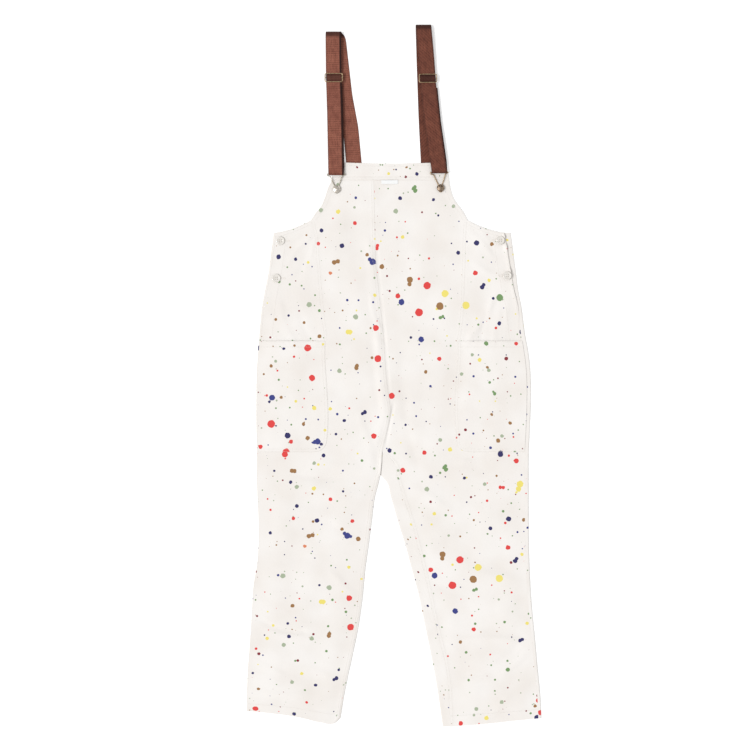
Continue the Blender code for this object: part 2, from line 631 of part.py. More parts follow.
def strap_path(side):
    """Middle of the webbing from the back panel, round the shoulder and the clasp, and back up."""
    rows = STRAP[side]
    end, top_of_back, on_floor = STRAP_ENDS
    fold_y = rows["fold_y"] - SHOULDER_R - STRAP_T / 2
    runs = []

    def run(curve, y, z):
        runs.append(np.stack([read(rows[curve], y), y, z], axis=1))

    run("back", np.linspace(end, top_of_back, 3), np.full(3, ON_BACK_Z))
    run("back", np.linspace(top_of_back, on_floor, 4)[1:], smooth(ON_BACK_Z, STRAP_Z, 4)[1:])
    run("back", np.linspace(on_floor, fold_y, 10)[1:], np.full(9, STRAP_Z))
    turn = np.linspace(0, math.pi, 9)[1:-1]
    arc_y = fold_y + SHOULDER_R * np.sin(turn)
    arc_z = STRAP_Z + SHOULDER_R * (1 - np.cos(turn))
    back_x = read(rows["back"], arc_y)
    front_x = read(rows["front"], arc_y)
    runs.append(np.stack([back_x + (front_x - back_x) * turn / math.pi, arc_y, arc_z], axis=1))

    top_z = STRAP_Z + 2 * SHOULDER_R
    slider_y = rows["slider_y"]
    clasp_y = rows["clasp_y"]
    enter = slider_y + SLIDER_HALF + LEAD
    leave = slider_y - SLIDER_HALF - LEAD
    run("front", np.linspace(fold_y, enter, 5), smooth(top_z, SLIDER_Z - WEAVE, 5))
    y = np.linspace(SLIDER_HALF, -SLIDER_HALF, 11)
    run("front", slider_y + y, SLIDER_Z + WEAVE * np.cos(math.pi * y / SLIDER_HALF))
    run("front", np.linspace(leave, clasp_y, 7), smooth(SLIDER_Z - WEAVE, CLASP_Z + BAR_R, 7))
    turn = np.linspace(0, math.pi, 8)[1:-1]
    bar_x = float(read(rows["front"], clasp_y))
    arc = [(bar_x, clasp_y - BAR_R * math.sin(t), CLASP_Z + BAR_R * math.cos(t)) for t in turn]
    runs.append(np.array(arc))
    tail = np.linspace(clasp_y, slider_y - SLIDER_HALF - TAIL_END, 6)
    above = np.interp(tail, (clasp_y, leave), (CLASP_Z + BAR_R, SLIDER_Z - WEAVE))
    share = (tail - clasp_y) / (tail[-1] - clasp_y)
    below = 2 * BAR_R + (TAIL_DROP - 2 * BAR_R) * np.minimum(1, share / TAIL_SHARE)
    run("front", tail, above - below)
    return np.concatenate(runs)


def make_strap(side, look):
    """Webbing of even width and thickness along its path, square at both ends."""
    path = strap_path(side)
    step = np.gradient(path[:, 1:], axis=0)
    step /= np.linalg.norm(step, axis=1, keepdims=True)
    out = np.stack([np.zeros(len(path)), -step[:, 1], step[:, 0]], axis=1) * STRAP_T / 2
    wide = np.array([STRAP_W / 2, 0.0, 0.0])
    ring = np.stack([path + out - wide, path + out + wide, path - out + wide, path - out - wide], axis=1)
    faces = [(0, 1, 2, 3)]
    for section in range(len(path) - 1):
        low = 4 * section
        for corner in range(4):
            after = (corner + 1) % 4
            faces.append((low + corner, low + 4 + corner, low + 4 + after, low + after))
    end = 4 * (len(path) - 1)
    faces.append((end + 3, end + 2, end + 1, end))
    return add(f"strap_{side}", ring.reshape(-1, 3), faces, look)


def make_slider(side, look):
    """Wire slider: a rounded ring with a middle bar, which the webbing is threaded through."""
    rows = STRAP[side]
    centre = (float(read(rows["front"], rows["slider_y"])), rows["slider_y"], SLIDER_Z)
    half_x = STRAP_W / 2 + SLIDER_SPARE + WIRE_R
    points = []
    for quarter, (sx, sy) in enumerate(((1, 1), (-1, 1), (-1, -1), (1, -1))):
        for turn in np.linspace(0, math.pi / 2, 4) + quarter * math.pi / 2:
            x = centre[0] + sx * (half_x - SLIDER_CORNER) + SLIDER_CORNER * math.cos(turn)
            y = centre[1] + sy * (SLIDER_HALF - SLIDER_CORNER) + SLIDER_CORNER * math.sin(turn)
            points.append((x, y, centre[2]))
    ring = tube(f"slider_{side}", points, WIRE_R, look)
    ends = [(centre[0] - half_x, centre[1], centre[2]), (centre[0] + half_x, centre[1], centre[2])]
    bar = tube(f"bar_{side}", ends, WIRE_R * 0.9, look, closed=False)
    join_by_union(ring, bar)


def clasp_points(side):
    """Closed loop of wire: the strap's bar, two sides drawing in, and the slot round the tack button."""
    rows = STRAP[side]
    top = np.array([float(read(rows["front"], rows["clasp_y"])), rows["clasp_y"]])
    tack = np.array(rows["tack"])
    half = np.array(CLASP)
    whole = np.concatenate([half, half[-2:0:-1] * (-1, 1)])
    length = -CLASP[CLASP_GRIP][1]
    down = (top - tack) / np.linalg.norm(top - tack)
    across = np.array([down[1], -down[0]])
    scale = np.linalg.norm(top - tack) / length
    share = np.clip(-whole[:, 1] / length, 0, 1)
    sideways = np.where(share[:, None] > 0.0, across, (1.0, 0.0))
    plan = top + whole[:, :1] * sideways + whole[:, 1:] * down * scale
    low_z = tack_base(side) + WIRE_CLEAR + WIRE_R
    z = CLASP_Z + (low_z - CLASP_Z) * np.minimum(1, share * CLASP_FALL)
    return np.column_stack([plan, z])


def tack_base(side):
    """Level that a tack button stands on: just above the cloth round it."""
    x, y = STRAP[side]["tack"]
    around = np.linspace(0, 2 * math.pi, 12)
    near = front_z(side, x + TACK_R / 2 * np.cos(around), y + TACK_R / 2 * np.sin(around))
    return float(near.max()) + CLOTH / 2 + GAP


def make_tack_button(side, look):
    """Jeans button: a short shank under a domed cap with a rolled rim."""
    x, y = STRAP[side]["tack"]
    cap = (
        (TACK_R - 0.0006, 0.0), (TACK_R, 0.0006), (TACK_R - 0.0004, 0.0014), (0.0062, 0.0019),
        (0.0040, 0.0017), (0.0, 0.0021),
    )
    shank = ((0.0, 0.0), (TACK_SHANK_R, 0.0), (TACK_SHANK_R - 0.0002, TACK_CLEAR))
    profile = shank + tuple((radius, TACK_CLEAR + height) for radius, height in cap)
    return lathe(f"tack_button_{side}", profile, (x, y, tack_base(side)), look)


def make_side_button(name, side, x, y, look):
    """Four-hole button with a raised rim, lying on the side opening."""
    around = np.linspace(0, 2 * math.pi, 16)
    ys = y + BUTTON_R * np.sin(around)
    near = front_z(side, x + BUTTON_R * np.cos(around), np.minimum(ys, UNDERARM_Y))
    base = float(near.max()) + CLOTH / 2 + GAP
    profile = (
        (0.0, 0.0), (BUTTON_R - 0.0012, 0.0), (BUTTON_R, 0.0009), (BUTTON_R - 0.0002, BUTTON_T - 0.0004),
        (BUTTON_R - 0.0012, BUTTON_T), (BUTTON_R - 0.0028, BUTTON_T - 0.0006), (0.0, BUTTON_T - 0.0008),
    )
    button = lathe(f"side_button_{name}", profile, (x, y, base), look)
    for number, (sx, sy) in enumerate(((1, 1), (-1, 1), (-1, -1), (1, -1))):
        centre = (x + sx * HOLE_OUT, y + sy * HOLE_OUT, base - 0.001)
        pin = ((0.0, 0.0), (HOLE_R, 0.0), (HOLE_R, BUTTON_T + 0.002), (0.0, BUTTON_T + 0.002))
        cutter = lathe(f"hole_{name}_{number}", pin, centre, look, sides=8)
        cut = button.modifiers.new(f"hole {number}", "BOOLEAN")
        cut.operation = "DIFFERENCE"
        cut.object = cutter
        cutter.hide_render = True
        cutter.display_type = "WIRE"
    return button


# ---------------------------------------------------------------- the whole garment
def main():
    for old in list(bpy.data.objects):
        bpy.data.objects.remove(old)
    cotton = material("spattered cotton", COTTON, 0.9)
    webbing = material("webbing", WEBBING, 0.75)
    brass = material("brass wire", BRASS, 0.35, 1.0)
    bronze = material("bronze cap", BRONZE, 0.4, 1.0)
    pearl = material("button", PEARL, 0.3)
    label_white = material("label", LABEL_WHITE, 0.8)
    make_bib_band(cotton)
    make_label(label_white)
    for side in ("left", "right"):
        make_back(side, cotton)
        make_front(side, cotton)
        make_side_panel(side, cotton)
        make_pocket(side, cotton)
        make_strap(side, webbing)
        make_slider(side, brass)
        tube(f"clasp_{side}", clasp_points(side), WIRE_R, brass)
        make_tack_button(side, bronze)
    for name, side, x, y in SIDE_BUTTONS:
        make_side_button(name, side, x, y, pearl)


main()
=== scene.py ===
# %% [markdown]
# # Spattered bib overalls, laid flat
#
# Bib overalls in off-white cotton drill, spattered all over with drops of paint, on brown webbing braces.
# They lie on their back on a pale floor and are seen from straight above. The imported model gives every
# piece its place and size; this lesson gives each one its finish. Cloth is rebuilt as a fine shell on the
# same edge curves, so that its folds, felled seams and rolled edges are real geometry.

# %% Load the frame
import math

import bpy
import numpy as np
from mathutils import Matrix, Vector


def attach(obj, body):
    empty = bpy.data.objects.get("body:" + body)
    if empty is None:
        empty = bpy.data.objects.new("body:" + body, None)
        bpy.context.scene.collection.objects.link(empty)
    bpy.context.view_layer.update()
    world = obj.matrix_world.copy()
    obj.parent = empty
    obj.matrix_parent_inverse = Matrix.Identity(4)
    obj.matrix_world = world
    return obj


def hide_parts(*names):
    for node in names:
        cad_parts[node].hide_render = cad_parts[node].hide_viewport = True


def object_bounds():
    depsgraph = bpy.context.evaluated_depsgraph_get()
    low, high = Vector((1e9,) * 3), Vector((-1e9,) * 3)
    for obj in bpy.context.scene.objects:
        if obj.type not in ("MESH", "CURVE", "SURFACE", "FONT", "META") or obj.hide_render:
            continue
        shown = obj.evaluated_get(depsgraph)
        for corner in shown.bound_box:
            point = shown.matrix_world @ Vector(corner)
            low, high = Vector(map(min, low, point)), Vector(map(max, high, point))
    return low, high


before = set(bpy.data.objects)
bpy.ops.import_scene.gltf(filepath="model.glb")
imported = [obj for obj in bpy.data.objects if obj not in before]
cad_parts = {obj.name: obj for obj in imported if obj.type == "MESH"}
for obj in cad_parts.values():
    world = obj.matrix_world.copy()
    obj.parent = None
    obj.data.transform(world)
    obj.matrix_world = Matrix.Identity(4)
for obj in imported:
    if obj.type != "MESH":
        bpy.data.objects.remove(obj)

cad_box = [list(corner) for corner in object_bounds()]
low_corner, high_corner = (np.array(corner) for corner in cad_box)
print("nodes", len(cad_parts), "size", np.round(high_corner - low_corner, 4))

# %% [markdown]
# ## Camera, floor and light
#
# The garment is set out as a catalogue flat lay: a long lens straight overhead, a white floor that burns out
# to plain white and glows faintly, and one broad light from the left in a bright room. A sun lamp with a wide
# angle was chosen before an area lamp, because it lights both hems and braces evenly.

# %% Camera
LENS = 85.0
CAMERA_HEIGHT = 4.126
CAMERA_SHIFT = (-0.0435, 0.0019)  # from the middle of the garment

middle = (low_corner + high_corner) / 2
camera_data = bpy.data.cameras.new("overhead camera")
camera_data.lens = LENS
camera_data.sensor_width = 36.0
camera_data.clip_end = 50.0
camera = bpy.data.objects.new("overhead_camera", camera_data)
camera.location = (middle[0] + CAMERA_SHIFT[0], middle[1] + CAMERA_SHIFT[1], CAMERA_HEIGHT)
bpy.context.scene.collection.objects.link(camera)
bpy.context.scene.camera = camera
print("width seen on the floor", round(CAMERA_HEIGHT * camera_data.sensor_width / LENS, 3), "m")

# %% Light
SUN_STRENGTH = 2.0
SUN_SOFTNESS = 22.0  # degrees across the lamp
SUN_HEIGHT = 55.0  # degrees above the floor
SUN_SIDE = 195.0  # degrees round from +X, so from the left and a little below
ROOM = 0.72

scene = bpy.context.scene
scene.view_settings.view_transform = "Standard"
scene.view_settings.look = "None"

sun_data = bpy.data.lights.new("broad key light", "SUN")
sun_data.energy = SUN_STRENGTH
sun_data.angle = math.radians(SUN_SOFTNESS)
sun = bpy.data.objects.new("key_light", sun_data)
sun.rotation_euler = (0.0, math.radians(90 - SUN_HEIGHT), math.radians(SUN_SIDE))
scene.collection.objects.link(sun)

world = bpy.data.worlds.new("bright room")
world.use_nodes = True
world.node_tree.nodes["Background"].inputs["Color"].default_value = (1.0, 1.0, 1.0, 1.0)
world.node_tree.nodes["Background"].inputs["Strength"].default_value = ROOM
scene.world = world
LEVEL = SUN_STRENGTH * math.sin(math.radians(SUN_HEIGHT)) / math.pi + ROOM
print("light on a level surface", round(LEVEL, 2))

# %% [markdown]
# ## Shader maths as Python
#
# A material is a formula over the surface. Wrapping a node's output in a small class lets the formula be
# written as Python, and each operator adds its Math node. Colours and vectors go through their own nodes.

# %% Socket and Shader


class Socket:
    """A node's output, on which + - * / add Math nodes."""

    def __init__(self, shader, output):
        self.shader = shader
        self.output = output

    def math(self, operation, *others, clamp=False):
        settings = {"operation": operation, "use_clamp": clamp}
        return self.shader.node("ShaderNodeMath", settings, [self, *others])

    def __add__(self, other):
        return self.math("ADD", other)

    def __sub__(self, other):
        return self.math("SUBTRACT", other)

    def __mul__(self, other):
        return self.math("MULTIPLY", other)

    def __truediv__(self, other):
        return self.math("DIVIDE", other)

    def __rsub__(self, other):
        return self.shader.node("ShaderNodeMath", {"operation": "SUBTRACT"}, [other, self])

    __radd__ = __add__
    __rmul__ = __mul__

    def sibling(self, output):
        """Another output of the same node."""
        return Socket(self.shader, self.output.node.outputs[output])

    def ramp(self, start, end):
        """0 below start, 1 above end (or the other way round where end is the lower), straight between."""
        gain = 1 / (end - start)
        return self.math("MULTIPLY_ADD", gain, -start * gain, clamp=True)


class Shader:
    """A material with a Principled shader, and one method that adds any other node."""

    def __init__(self, name, roughness=0.9, metallic=0.0, **fixed):
        self.material = bpy.data.materials.new(name)
        self.material.use_nodes = True
        self.tree = self.material.node_tree
        self.principled = self.tree.nodes["Principled BSDF"]
        self.principled.inputs["Roughness"].default_value = roughness
        self.principled.inputs["Metallic"].default_value = metallic
        for socket, value in fixed.items():
            self.principled.inputs[socket.replace("_", " ")].default_value = value

    def node(self, kind, settings=None, inputs=None, output=0):
        """Adds a node: its settings first, then the values or links of its sockets, by place or name."""
        made = self.tree.nodes.new(kind)
        for key, value in (settings or {}).items():
            if key == "stops":
                self.set_stops(made.color_ramp, value)
            else:
                setattr(made, key, value)
        given = inputs.items() if isinstance(inputs, dict) else enumerate(inputs or [])
        for key, value in given:
            if isinstance(value, Socket):
                self.tree.links.new(value.output, made.inputs[key])
            else:
                made.inputs[key].default_value = value
        return Socket(self, made.outputs[output])

    @staticmethod
    def set_stops(ramp, stops):
        ramp.interpolation = "CONSTANT"
        while len(ramp.elements) < len(stops):
            ramp.elements.new(1.0)
        for element, (place, colour) in zip(ramp.elements, stops):
            element.position = place
            element.color = (*colour, 1.0)

    def mix(self, share, first, second):
        """The first colour where share is 0, the second where it is 1."""
        ends = {0: share, 6: self.colour(first), 7: self.colour(second)}
        return self.node("ShaderNodeMix", {"data_type": "RGBA"}, ends, output=2)

    @staticmethod
    def colour(value):
        return value if isinstance(value, Socket) else (*value, 1.0)

    def uv(self):
        return self.node("ShaderNodeUVMap", {"uv_map": "cloth"})

    def mark(self, name):
        return self.node("ShaderNodeAttribute", {"attribute_name": name}, output="Fac")

    def noise(self, place, scale, detail=2.0, output=0):
        sockets = {"Vector": place, "Scale": scale, "Detail": detail}
        return self.node("ShaderNodeTexNoise", None, sockets, output=output)

    def vector(self, operation, *inputs, output=0):
        return self.node("ShaderNodeVectorMath", {"operation": operation}, list(inputs), output=output)

    def split(self, place):
        """The first and second parts of a place."""
        first = self.node("ShaderNodeSeparateXYZ", None, [place])
        return first, first.sibling(1)

    def finish(self, colour=None, roughness=None, height=None):
        """Links colour, roughness and a height in metres to the shader, and returns the material."""
        if colour is not None:
            self.tree.links.new(colour.output, self.principled.inputs["Base Color"])
        if roughness is not None:
            self.tree.links.new(roughness.output, self.principled.inputs["Roughness"])
        if height is not None:
            bump = self.node("ShaderNodeBump", None, {"Distance": 1.0, "Height": height})
            self.tree.links.new(bump.output, self.principled.inputs["Normal"])
        return self.material


def linear(red, green, blue):
    """A display colour, 0 to 255 in each part, as the linear values that a shader works in."""
    parts = np.array([red, green, blue]) / 255
    curved = ((parts + 0.055) / 1.055) ** 2.4
    return tuple(float(part) for part in np.where(parts > 0.04045, curved, parts / 12.92))


print("shader helpers ready; mid grey is", round(linear(128, 128, 128)[0], 3))

# %% [markdown]
# ## Colours under these lights
#
# A colour that should show as (246, 241, 237) on a level surface needs less than that as paint, because the
# lights are brighter than one. Dividing by the level that the lamps give lets each colour be written as the
# one that is seen.

# %% Seen colours


def seen(red, green, blue):
    """The surface colour that shows as this display colour, lying level under the lamps."""
    return tuple(part / LEVEL for part in linear(red, green, blue))


CLOTH_LIGHT = seen(249, 245, 241)
CLOTH_WARM = seen(243, 237, 231)
CLOTH_INSIDE = seen(236, 230, 224)
PAINT = {
    "red": seen(230, 76, 74),
    "blue": seen(66, 72, 138),
    "navy": seen(58, 56, 104),
    "brown": seen(162, 121, 80),
    "yellow": seen(244, 228, 122),
    "green": seen(124, 157, 106),
    "sage": seen(174, 186, 160),
    "orange": seen(226, 140, 104),
    "wine": seen(140, 58, 66),
}
print("paints", ", ".join(PAINT))

# %% [markdown]
# ## Spattered cotton
#
# The paint is printed on the cloth in a repeat 640 mm long. Only its largest drops are charted, a row each
# of rough place, size and paint, and a drop that ran is a few discs in a line. All smaller drops and the
# countless specks follow no chart: each cell of a Voronoi pattern holds at most one, with a size and a paint
# of its own. All are drawn at places that noise has pushed about, so no drop is a true circle.

# %% Drops of paint
REPEAT = 0.64  # length of the print's repeat, along the grain
SOFT_EDGE = 0.00035


def pushed(shader, place, scale, amount):
    """Each place moved by up to half the amount, by smooth noise."""
    noise = shader.noise(place, scale, detail=1.0, output="Color")
    off = shader.vector("SUBTRACT", noise, (0.5, 0.5, 0.5))
    return shader.vector("MULTIPLY_ADD", off, (amount, amount, 0.0), place)


def sprinkle(shader, colour, place, spacing, sizes, share, paints):
    """One random drop in a share of the cells of a Voronoi pattern, its radius within `sizes`."""
    settings = {"voronoi_dimensions": "2D", "feature": "F1"}
    sockets = {"Vector": place, "Scale": 1 / spacing}
    distance = shader.node("ShaderNodeTexVoronoi", settings, sockets, output="Distance")
    dice = shader.node("ShaderNodeSeparateColor", None, [distance.sibling("Color")])
    radius = dice * dice * (sizes[1] - sizes[0]) + sizes[0]
    drop = ((radius - distance * spacing) / SOFT_EDGE).math("ADD", 0.5, clamp=True)
    shown = dice.sibling(2).math("LESS_THAN", share)
    stops = [(number / len(paints), PAINT[paint]) for number, paint in enumerate(paints)]
    tint = shader.node("ShaderNodeValToRGB", {"stops": stops}, [dice.sibling(1)])
    return shader.mix(drop * shown, colour, tint)


def charted(shader, colour, place, chart):
    """The drops of a chart, whose rows are (across mm, up mm, radius mm, paint)."""
    for across, up, radius, paint in chart:
        centre = (across / 1000, up / 1000, 0.0)
        away = shader.vector("DISTANCE", place, centre, output="Value")
        reach = radius / 1000
        drop = away.ramp(reach + SOFT_EDGE / 2, reach - SOFT_EDGE / 2)
        colour = shader.mix(drop, colour, PAINT[paint])
    return colour


SPECK_PAINTS = ("wine", "navy", "green", "brown", "sage", "blue", "red", "green", "brown", "green", "sage")
DROP_PAINTS = ("wine", "blue", "green", "brown", "yellow", "sage", "red", "navy", "green", "red", "green")
print("specks in", len(SPECK_PAINTS), "shades")

# %% [markdown]
# ## The cloth itself
#
# Cotton drill is matt, with a fine diagonal rib, threads that thicken here and there, and a faint rumple
# that no iron takes out. Beside every topstitched seam the sewing draws the cloth into small puckers, so
# the mesh carries a mark of how near the next seam is, and the pucker bump grows with it.

# %% Cotton material
RIB = 0.0009  # pitch of the diagonal rib
RIB_HEIGHT = 0.00001
THREAD_HEIGHT = 0.00003
RUMPLE_HEIGHT = 0.0005
CRIMP_HEIGHT = 0.0006  # beside a seam
DROP_PUSH = (420.0, 0.0011)  # scale of the noise that pushes the drops about, and how far it does
LARGE_PUSH = (200.0, 0.0032)  # the same for the large drops
# Random drops: spacing of the cells, least and greatest radius, share of the cells that hold one, paints
SPRINKLES = (
    (0.017, (0.0004, 0.0008), 0.08, SPECK_PAINTS),
    (0.028, (0.0008, 0.0017), 0.42, SPECK_PAINTS),
    (0.033, (0.0015, 0.0034), 0.6, DROP_PAINTS),
)


def cotton(name, chart, offset, start=None, shift=0.0):
    """Spattered cotton for one panel: its chart, and its own place on the random specks.

    The chart repeats along the grain from the level `start`, or not at all, moved across by `shift`.
    """
    shader = Shader(name, roughness=0.93, Specular_IOR_Level=0.25, Sheen_Weight=0.06, Sheen_Roughness=0.6)
    flat = shader.uv()
    mottle = shader.noise(flat, 11.0, detail=2.0)
    colour = shader.mix(mottle.ramp(0.35, 0.7), CLOTH_LIGHT, CLOTH_WARM)

    rough_place = pushed(shader, shader.vector("ADD", flat, (*offset, 0.0)), *DROP_PUSH)
    for row in SPRINKLES:
        colour = sprinkle(shader, colour, rough_place, *row)
    place = shader.vector("ADD", flat, (shift, 0.0, 0.0))
    if start is not None:
        place = shader.vector("WRAP", place, (1.0, start + REPEAT, 1.0), (-1.0, start, -1.0))
    colour = charted(shader, colour, pushed(shader, place, *LARGE_PUSH), chart)
    colour = shader.mix(shader.mark("outside"), CLOTH_INSIDE, colour)

    across, along = shader.split(flat)
    rib = ((across + along) * (2 * math.pi / RIB)).math("SINE")
    thread = shader.noise(shader.vector("MULTIPLY", flat, (900.0, 160.0, 1.0)), 1.0, detail=2.0)
    rumple = shader.noise(flat, 34.0, detail=3.0)
    crimp = shader.noise(flat, 115.0, detail=1.0) * shader.mark("pucker")
    height = rib * RIB_HEIGHT + thread * THREAD_HEIGHT + rumple * RUMPLE_HEIGHT + crimp * CRIMP_HEIGHT
    return shader.finish(colour=colour, height=height)


# %% [markdown]
# ## Webbing, wire, caps, buttons and thread
#
# The braces are brown twill webbing with ribs along them. Sliders and clasps are bent brass-coloured wire,
# the tack buttons have worn bronze caps, and the side buttons are pale and pearly. Each wears its own way:
# wire and caps are duller in random patches, webbing catches light on its ribs.

# %% Trim materials


def webbing_material(name, middle, warm, dark, light, slant, pitch):
    """Brown twill webbing: ribs and a fine herring-bone of threads, with streaks across them.

    The streaks slant by `slant` and lie `pitch` apart. Selvedges are darker, and painted shade darkens
    the bends and the shaded parts.
    """
    shader = Shader(name, roughness=0.78, Specular_IOR_Level=0.2, Sheen_Weight=0.04)
    flat = shader.uv()
    across, along = shader.split(flat)
    rib = (across * (2 * math.pi / WEB_RIB)).math("COSINE") * 0.5 + 0.5
    side = (across * (math.pi / WEB_RIB)).math("SINE").math("SIGN")
    twill = ((along + side * across * 1.1) * (2 * math.pi / TWILL)).math("SINE") * 0.5 + 0.5
    mottle = shader.noise(flat, 60.0, detail=4.0)
    patch = shader.noise(flat, 9.0, detail=2.0)
    base = shader.mix(patch.ramp(0.3, 0.7), seen(*middle), seen(*warm))
    drift = shader.noise(flat, 14.0, detail=1.0) * 5.0
    streak = ((across * slant + along) * (2 * math.pi / pitch) + drift).math("SINE") * patch
    grain = shader.node("ShaderNodeCombineXYZ", None, [across * 330.0, along * 60.0])  # long, thin clouds
    threads = shader.noise(grain, 1.0, detail=3.0) + shader.noise(flat, 105.0, detail=2.0) * 0.5 - 0.75
    ribs = rib * 0.7 + twill * 0.3 + streak * 0.34 + threads * 1.2
    base = shader.mix(ribs.ramp(0.85, 0.05), base, seen(*dark))
    base = shader.mix(across.math("ABSOLUTE").ramp(*SELVEDGE_SHADE) * 0.9, base, seen(*dark))
    # painted shade where the webbing bends round the clasp's bar, the slider's wires and the fold
    base = shader.mix(shader.mark("worn") * 0.85, base, seen(*dark))
    colour = shader.mix((twill * mottle).ramp(0.25, 0.8), base, seen(*light))
    # painted shade over the finished colour: the front layer's right edge, inside the slider, below the fold
    # and the layer behind
    colour = shader.mix(shader.mark("shaded"), colour, WEB_SHADE)
    return shader.finish(colour=colour, height=twill * TWILL_HEIGHT + mottle * MOTTLE_HEIGHT)


def metal(name, bright, dull, roughness):
    """Worn metal: bright where it is handled, dull and rougher in patches."""
    shader = Shader(name, roughness=roughness, metallic=1.0)
    place = shader.node("ShaderNodeTexCoord", output="Object")
    wear = shader.noise(place, 420.0, detail=3.0)
    fine = shader.noise(place, 2200.0, detail=2.0)
    colour = shader.mix(wear.ramp(0.42, 0.62), bright, dull)
    rough = wear.ramp(0.3, 0.8) * 0.22 + roughness
    return shader.finish(colour=colour, roughness=rough, height=fine * 0.00002)


def plain(name, light, dark, roughness, scale, bump, **fixed):
    """A softly clouded plain finish with a little relief."""
    shader = Shader(name, roughness=roughness, **fixed)
    place = shader.node("ShaderNodeTexCoord", output="Object")
    cloud = shader.noise(place, scale, detail=3.0)
    grain = shader.noise(place, scale * 7, detail=2.0)
    colour = shader.mix(cloud.ramp(0.35, 0.65), light, dark)
    return shader.finish(colour=colour, height=grain * bump)


WEB_RIB = 0.0024
WEB_SHADE = seen(42, 16, 12)
SELVEDGE_SHADE = (0.0154, 0.0178)  # from the webbing's middle, where it begins and is full
TWILL = 0.0013  # pitch of the webbing's fine threads
TWILL_HEIGHT = 0.00005
MOTTLE_HEIGHT = 0.00008
FLOOR_GLOW = 0.3  # the light table's own light, which keeps shadows on it thin

look = {
    "webbing_left": webbing_material(
        "brown webbing", (146, 88, 73), (160, 98, 79), (90, 46, 36), (178, 116, 95), slant=0.0, pitch=0.0052
    ),
    "webbing_right": webbing_material(
        "dark webbing", (114, 64, 50), (130, 74, 57), (66, 33, 25), (148, 90, 70), slant=-1.0, pitch=0.008
    ),
    "brass": metal("brass wire", seen(214, 188, 152), seen(132, 104, 76), 0.26),
    "steel": metal("pale wire", seen(214, 208, 190), seen(150, 144, 128), 0.26),
    "bronze": metal("bronze cap", seen(172, 152, 132), seen(98, 80, 66), 0.36),
    "silver": metal("pale cap", seen(238, 232, 222), seen(178, 168, 156), 0.3),
    "pearl": plain(
        "pearl button", seen(240, 236, 230), seen(228, 222, 214), 0.3, 160.0, 0.00002, Coat_Weight=0.3
    ),
    "thread": plain("cotton thread", seen(250, 246, 240), seen(236, 229, 221), 0.85, 900.0, 0.00003),
    "brown_thread": plain("brown thread", seen(120, 70, 56), seen(84, 46, 38), 0.8, 900.0, 0.00003),
    "label": plain("bare label", seen(252, 252, 251), seen(247, 248, 249), 0.7, 500.0, 0.00003),
}
floor_look = Shader("white floor", 0.9, Base_Color=(0.8, 0.8, 0.8, 1.0), Emission_Strength=FLOOR_GLOW)
look["floor"] = floor_look.material
print("finishes", ", ".join(look))

# %% [markdown]
# ## Sizes of the garment
#
# Each panel hangs between a few curves: the centre front, the side, the inner leg, the seams. Every row is
# a level along the body and the place of the curve there, in millimetres from the middle of the garment.
# They are the sizes that the cutter's pattern would give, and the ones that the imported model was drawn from.
# All other sizes are in metres.

# %% Edge curves


def mm(*rows):
    """Rows written in millimetres, as rows in metres."""
    return tuple(tuple(value / 1000 for value in row) for row in rows)


CLOTH = 0.001
BAND_CLOTH = 0.002
GAP = 0.0003  # between pieces that lie on each other
SEAM = 0.00006  # from a seam line to each panel's cells
FOLD_R = 0.00115  # of the back's folds, to the middle of its cloth
FLOOR_Z = CLOTH / 2
SEAM_Z = FLOOR_Z + 2 * FOLD_R
PUFF_Z = 0.0042  # level of the front's plateau
EDGE_FALL = 0.03  # over which it comes down to its edges

HEM_Y = -0.804
BIB_TOP_Y = 0.497
BAND_SEAM_Y = 0.456
CORNER_Y = 0.362  # where the armhole passes from the front to the side panel
UNDERARM_Y = 0.3325
POCKET_TOP_Y = 0.081
POCKET_BOTTOM_Y = -0.1775
STEP_Y = 0.0415  # where the side panel ends, under the pocket
CROSSING_Y = -0.1775  # where the right inseam meets the centre front
CROTCH_Y = -0.2315
STAND_LAP = 0.025  # how far the back goes on under the opening, as a button stand
STAND_ENDS = (0.2, 0.1675)  # levels over which that stand narrows to nothing
FLAP_TIP = 0.0006  # how far the right back reaches past the centre front, where they cross

CENTRE_FRONT = mm(
    (456, -45.5), (332.5, -42.5), (265, -41), (200, -34), (81, -22), (-10, -15.5), (-56.5, -9.5),
    (-77.5, -6), (-103, -9), (-140.5, -18), (-177.5, -26.5), (-203, -28.2), (-231.5, -31.2),
)
CENTRE_BACK = mm((381.5, -6), (81, -8), (-120, -18), (-231.5, -31))
SIDE = {
    "left": mm(
        (332.5, -280), (305, -283.5), (270, -288), (235, -293), (200, -300), (165, -306.5),
        (95, -313.5), (25, -318.5), (-219.5, -319.5), (-450, -320.5), (-487.5, -327), (-548, -331),
        (-632, -336.5), (-702, -341), (-804, -343.7),
    ),
    "right": mm(
        (332.5, 272), (305, 276), (270, 280.5), (235, 285), (200, 289.5), (165, 296.5), (95, 306),
        (60, 312.5), (-219.5, 314), (-450, 316.5), (-522.5, 320.5), (-618, 329.5), (-674, 334.5),
        (-757.5, 342), (-804, 343.7),
    ),
}
LEFT_ROLL = 0.0029  # how far the left back shows round its inner fold
INNER = {
    "left": mm(
        (-231.5, -31.3), (-245, -34), (-282.5, -43.5), (-338.5, -51), (-394, -58), (-450, -66),
        (-522.5, -73), (-590, -83), (-646, -94.5), (-702, -106.5), (-757.5, -117), (-804, -124),
    ),
    "right": mm(
        (-231.5, -30.7), (-245, -18.5), (-282.5, -7), (-338.5, 9), (-394, 26.5), (-450, 41.5),
        (-506, 56.5), (-562, 68.5), (-618, 80), (-674, 91.5), (-730, 102), (-804, 114),
    ),
}
INSEAM = {
    "left": tuple((level, place - LEFT_ROLL) for level, place in INNER["left"]),
    "right": mm(
        (-177.5, -25.5), (-203, 1), (-236, 8), (-282.5, 22), (-338.5, 40), (-394, 55), (-450, 69),
        (-506, 81.5), (-562, 93.5), (-618, 107), (-674, 120), (-730, 127.5), (-804, 130.5),
    ),
}
